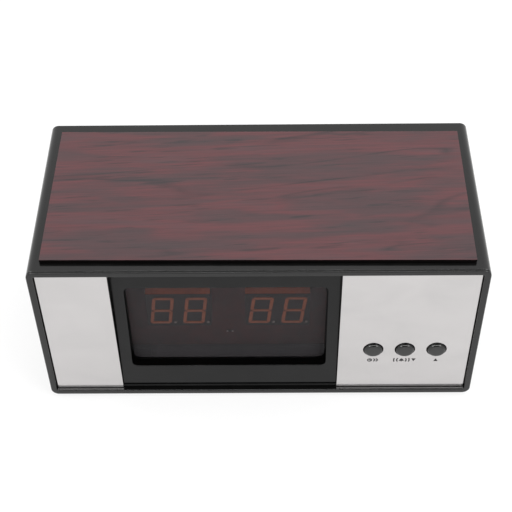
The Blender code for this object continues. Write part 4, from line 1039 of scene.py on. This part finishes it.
def grid_tree(name, look):
    tree, size = new_tree(name, Shape="Object", Across="Float", Along="Float", Tilt="Vector", Middle="Vector",
                          Most_Turn="Vector")
    flat = add(tree, "GeometryNodeMeshGrid", {"Size X": size["Across"], "Size Y": size["Along"], "Vertices X": 2,
                                              "Vertices Y": 2}).outputs["Mesh"]
    spots = add(tree, "GeometryNodeTransform", {"Geometry": flat, "Translation": size["Middle"],
                                                "Rotation": size["Tilt"]}).outputs[0]
    shape = add(tree, "GeometryNodeObjectInfo", {"Object": size["Shape"]}).outputs["Geometry"]
    turn = add(tree, "FunctionNodeRandomValue", {"Max": size["Most Turn"], "Seed": 4},
               data_type="FLOAT_VECTOR").outputs[0]
    end_tree(tree, add(tree, "GeometryNodeInstanceOnPoints", {"Points": spots, "Instance": shape,
                                                              "Rotation": turn}).outputs[0], look)
    return tree


def template(shape):
    """A shape as an object that a tree can copy. It is removed when the copies are made."""
    mesh = bpy.data.meshes.new("template")
    shape.to_mesh(mesh)
    shape.free()
    item = bpy.data.objects.new("template", mesh)
    bpy.context.scene.collection.objects.link(item)
    return item


head_radius, head_height, shank_radius, screw_length = 2.7 * MM, 1.6 * MM, 1.4 * MM, 8 * MM
profile = [(0, -screw_length), (shank_radius * 0.3, -screw_length), (shank_radius, -screw_length + 1.6 * MM),
           (shank_radius, 0), (head_radius, 0), (head_radius, head_height * 0.4)]
profile += [(head_radius * 0.45 + head_radius * 0.55 * math.cos(turn), head_height * (0.4 + 0.6 * math.sin(turn)))
            for turn in quarter(6)[1:]]
profile += [(0, head_height)]
screw = turned(profile, 0, 0, 40)
recess_half, recess_width, recess_depth = 1.45 * MM, 0.62 * MM, 1.1 * MM
cross = [crossbar(0, 0, turn, head_height - recess_depth, head_height + past, recess_half, recess_width)
         for turn in (0, math.pi / 2)]
screw = cut(screw, [fused(cross[0], cross[1:])])
bmesh.ops.translate(screw, verts=screw.verts, vec=(0, -front_y, 0))
screw_shape = template(screw)
cover_screws = grown("cover_screws", grid_tree("screw_grid", screw_metal), Shape=screw_shape,
                     Across=2 * cover_screw_x, Along=cover_screw_heights[1] - cover_screw_heights[0],
                     Tilt=(math.pi / 2, 0, 0), Most_Turn=(0, math.pi / 2, 0),
                     Middle=(0, front_y + seat_depth + gap, sum(cover_screw_heights) / 2))
bpy.data.objects.remove(screw_shape, do_unlink=True)
settle(cover_screws, [f"back_cover_screw_{number}" for number in range(1, 5)])

foot_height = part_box("rubber_foot_1")[1].z
foot_edge = 0.4 * MM
rows = [(foot_radius - foot_edge * (1 - math.sin(turn)), foot_edge * (1 - math.cos(turn))) for turn in quarter(5)]
foot = loft([[(x, y, z) for x, y in circle(0, 0, radius, 48)] for radius, z in [*rows, (foot_radius, foot_height)]])
foot_shape = template(foot)
feet = grown("rubber_feet", grid_tree("foot_grid", foot_rubber), Shape=foot_shape, Across=2 * foot_x,
             Along=2 * foot_y, Tilt=(0, 0, 0), Most_Turn=(0, 0, 0), Middle=(0, 0, 0))
bpy.data.objects.remove(foot_shape, do_unlink=True)
settle(feet, [f"rubber_foot_{number}" for number in range(1, 5)])

# %% [markdown]
# What stays hidden keeps its imported solid: boards, chips, switches, cell, leads and the inner screws. Each still
# gets the finish of its real material, because they show when the clock is taken apart.

# %% Finishes of the inner parts
inner_looks = {
    "circuit_board": moulded("circuit_board", (0.125, 0.012, 0.007), 0.5, mottle=0.25, patch=2 * MM, relief=0.004 * MM,
                             IOR=1.3),
    "moulded_black": moulded("moulded_black", (0.018, 0.018, 0.019), 0.5, mottle=0.2, patch=2 * MM),
    "tinned_steel": contact_metal,
    "capacitor_sleeve": moulded("capacitor_sleeve", (0.015, 0.022, 0.08), 0.35, mottle=0.15, patch=2 * MM),
    "cream_nylon": moulded("cream_nylon", (0.66, 0.6, 0.48), 0.45, mottle=0.05, patch=2 * MM),
    "black_nylon": black_nylon,
    "wire_insulation": moulded("wire_insulation", (0.02, 0.02, 0.021), 0.5, mottle=0.15, patch=2 * MM),
    "screw_steel": screw_metal,
}
dressed = 0
for part in frame["record"]["subparts"]:
    if part["material_slot"] in inner_looks:
        frame["nodes"][part["node"]].material_slots[0].material = inner_looks[part["material_slot"]]
        dressed += 1
print("inner parts with a finish", dressed)
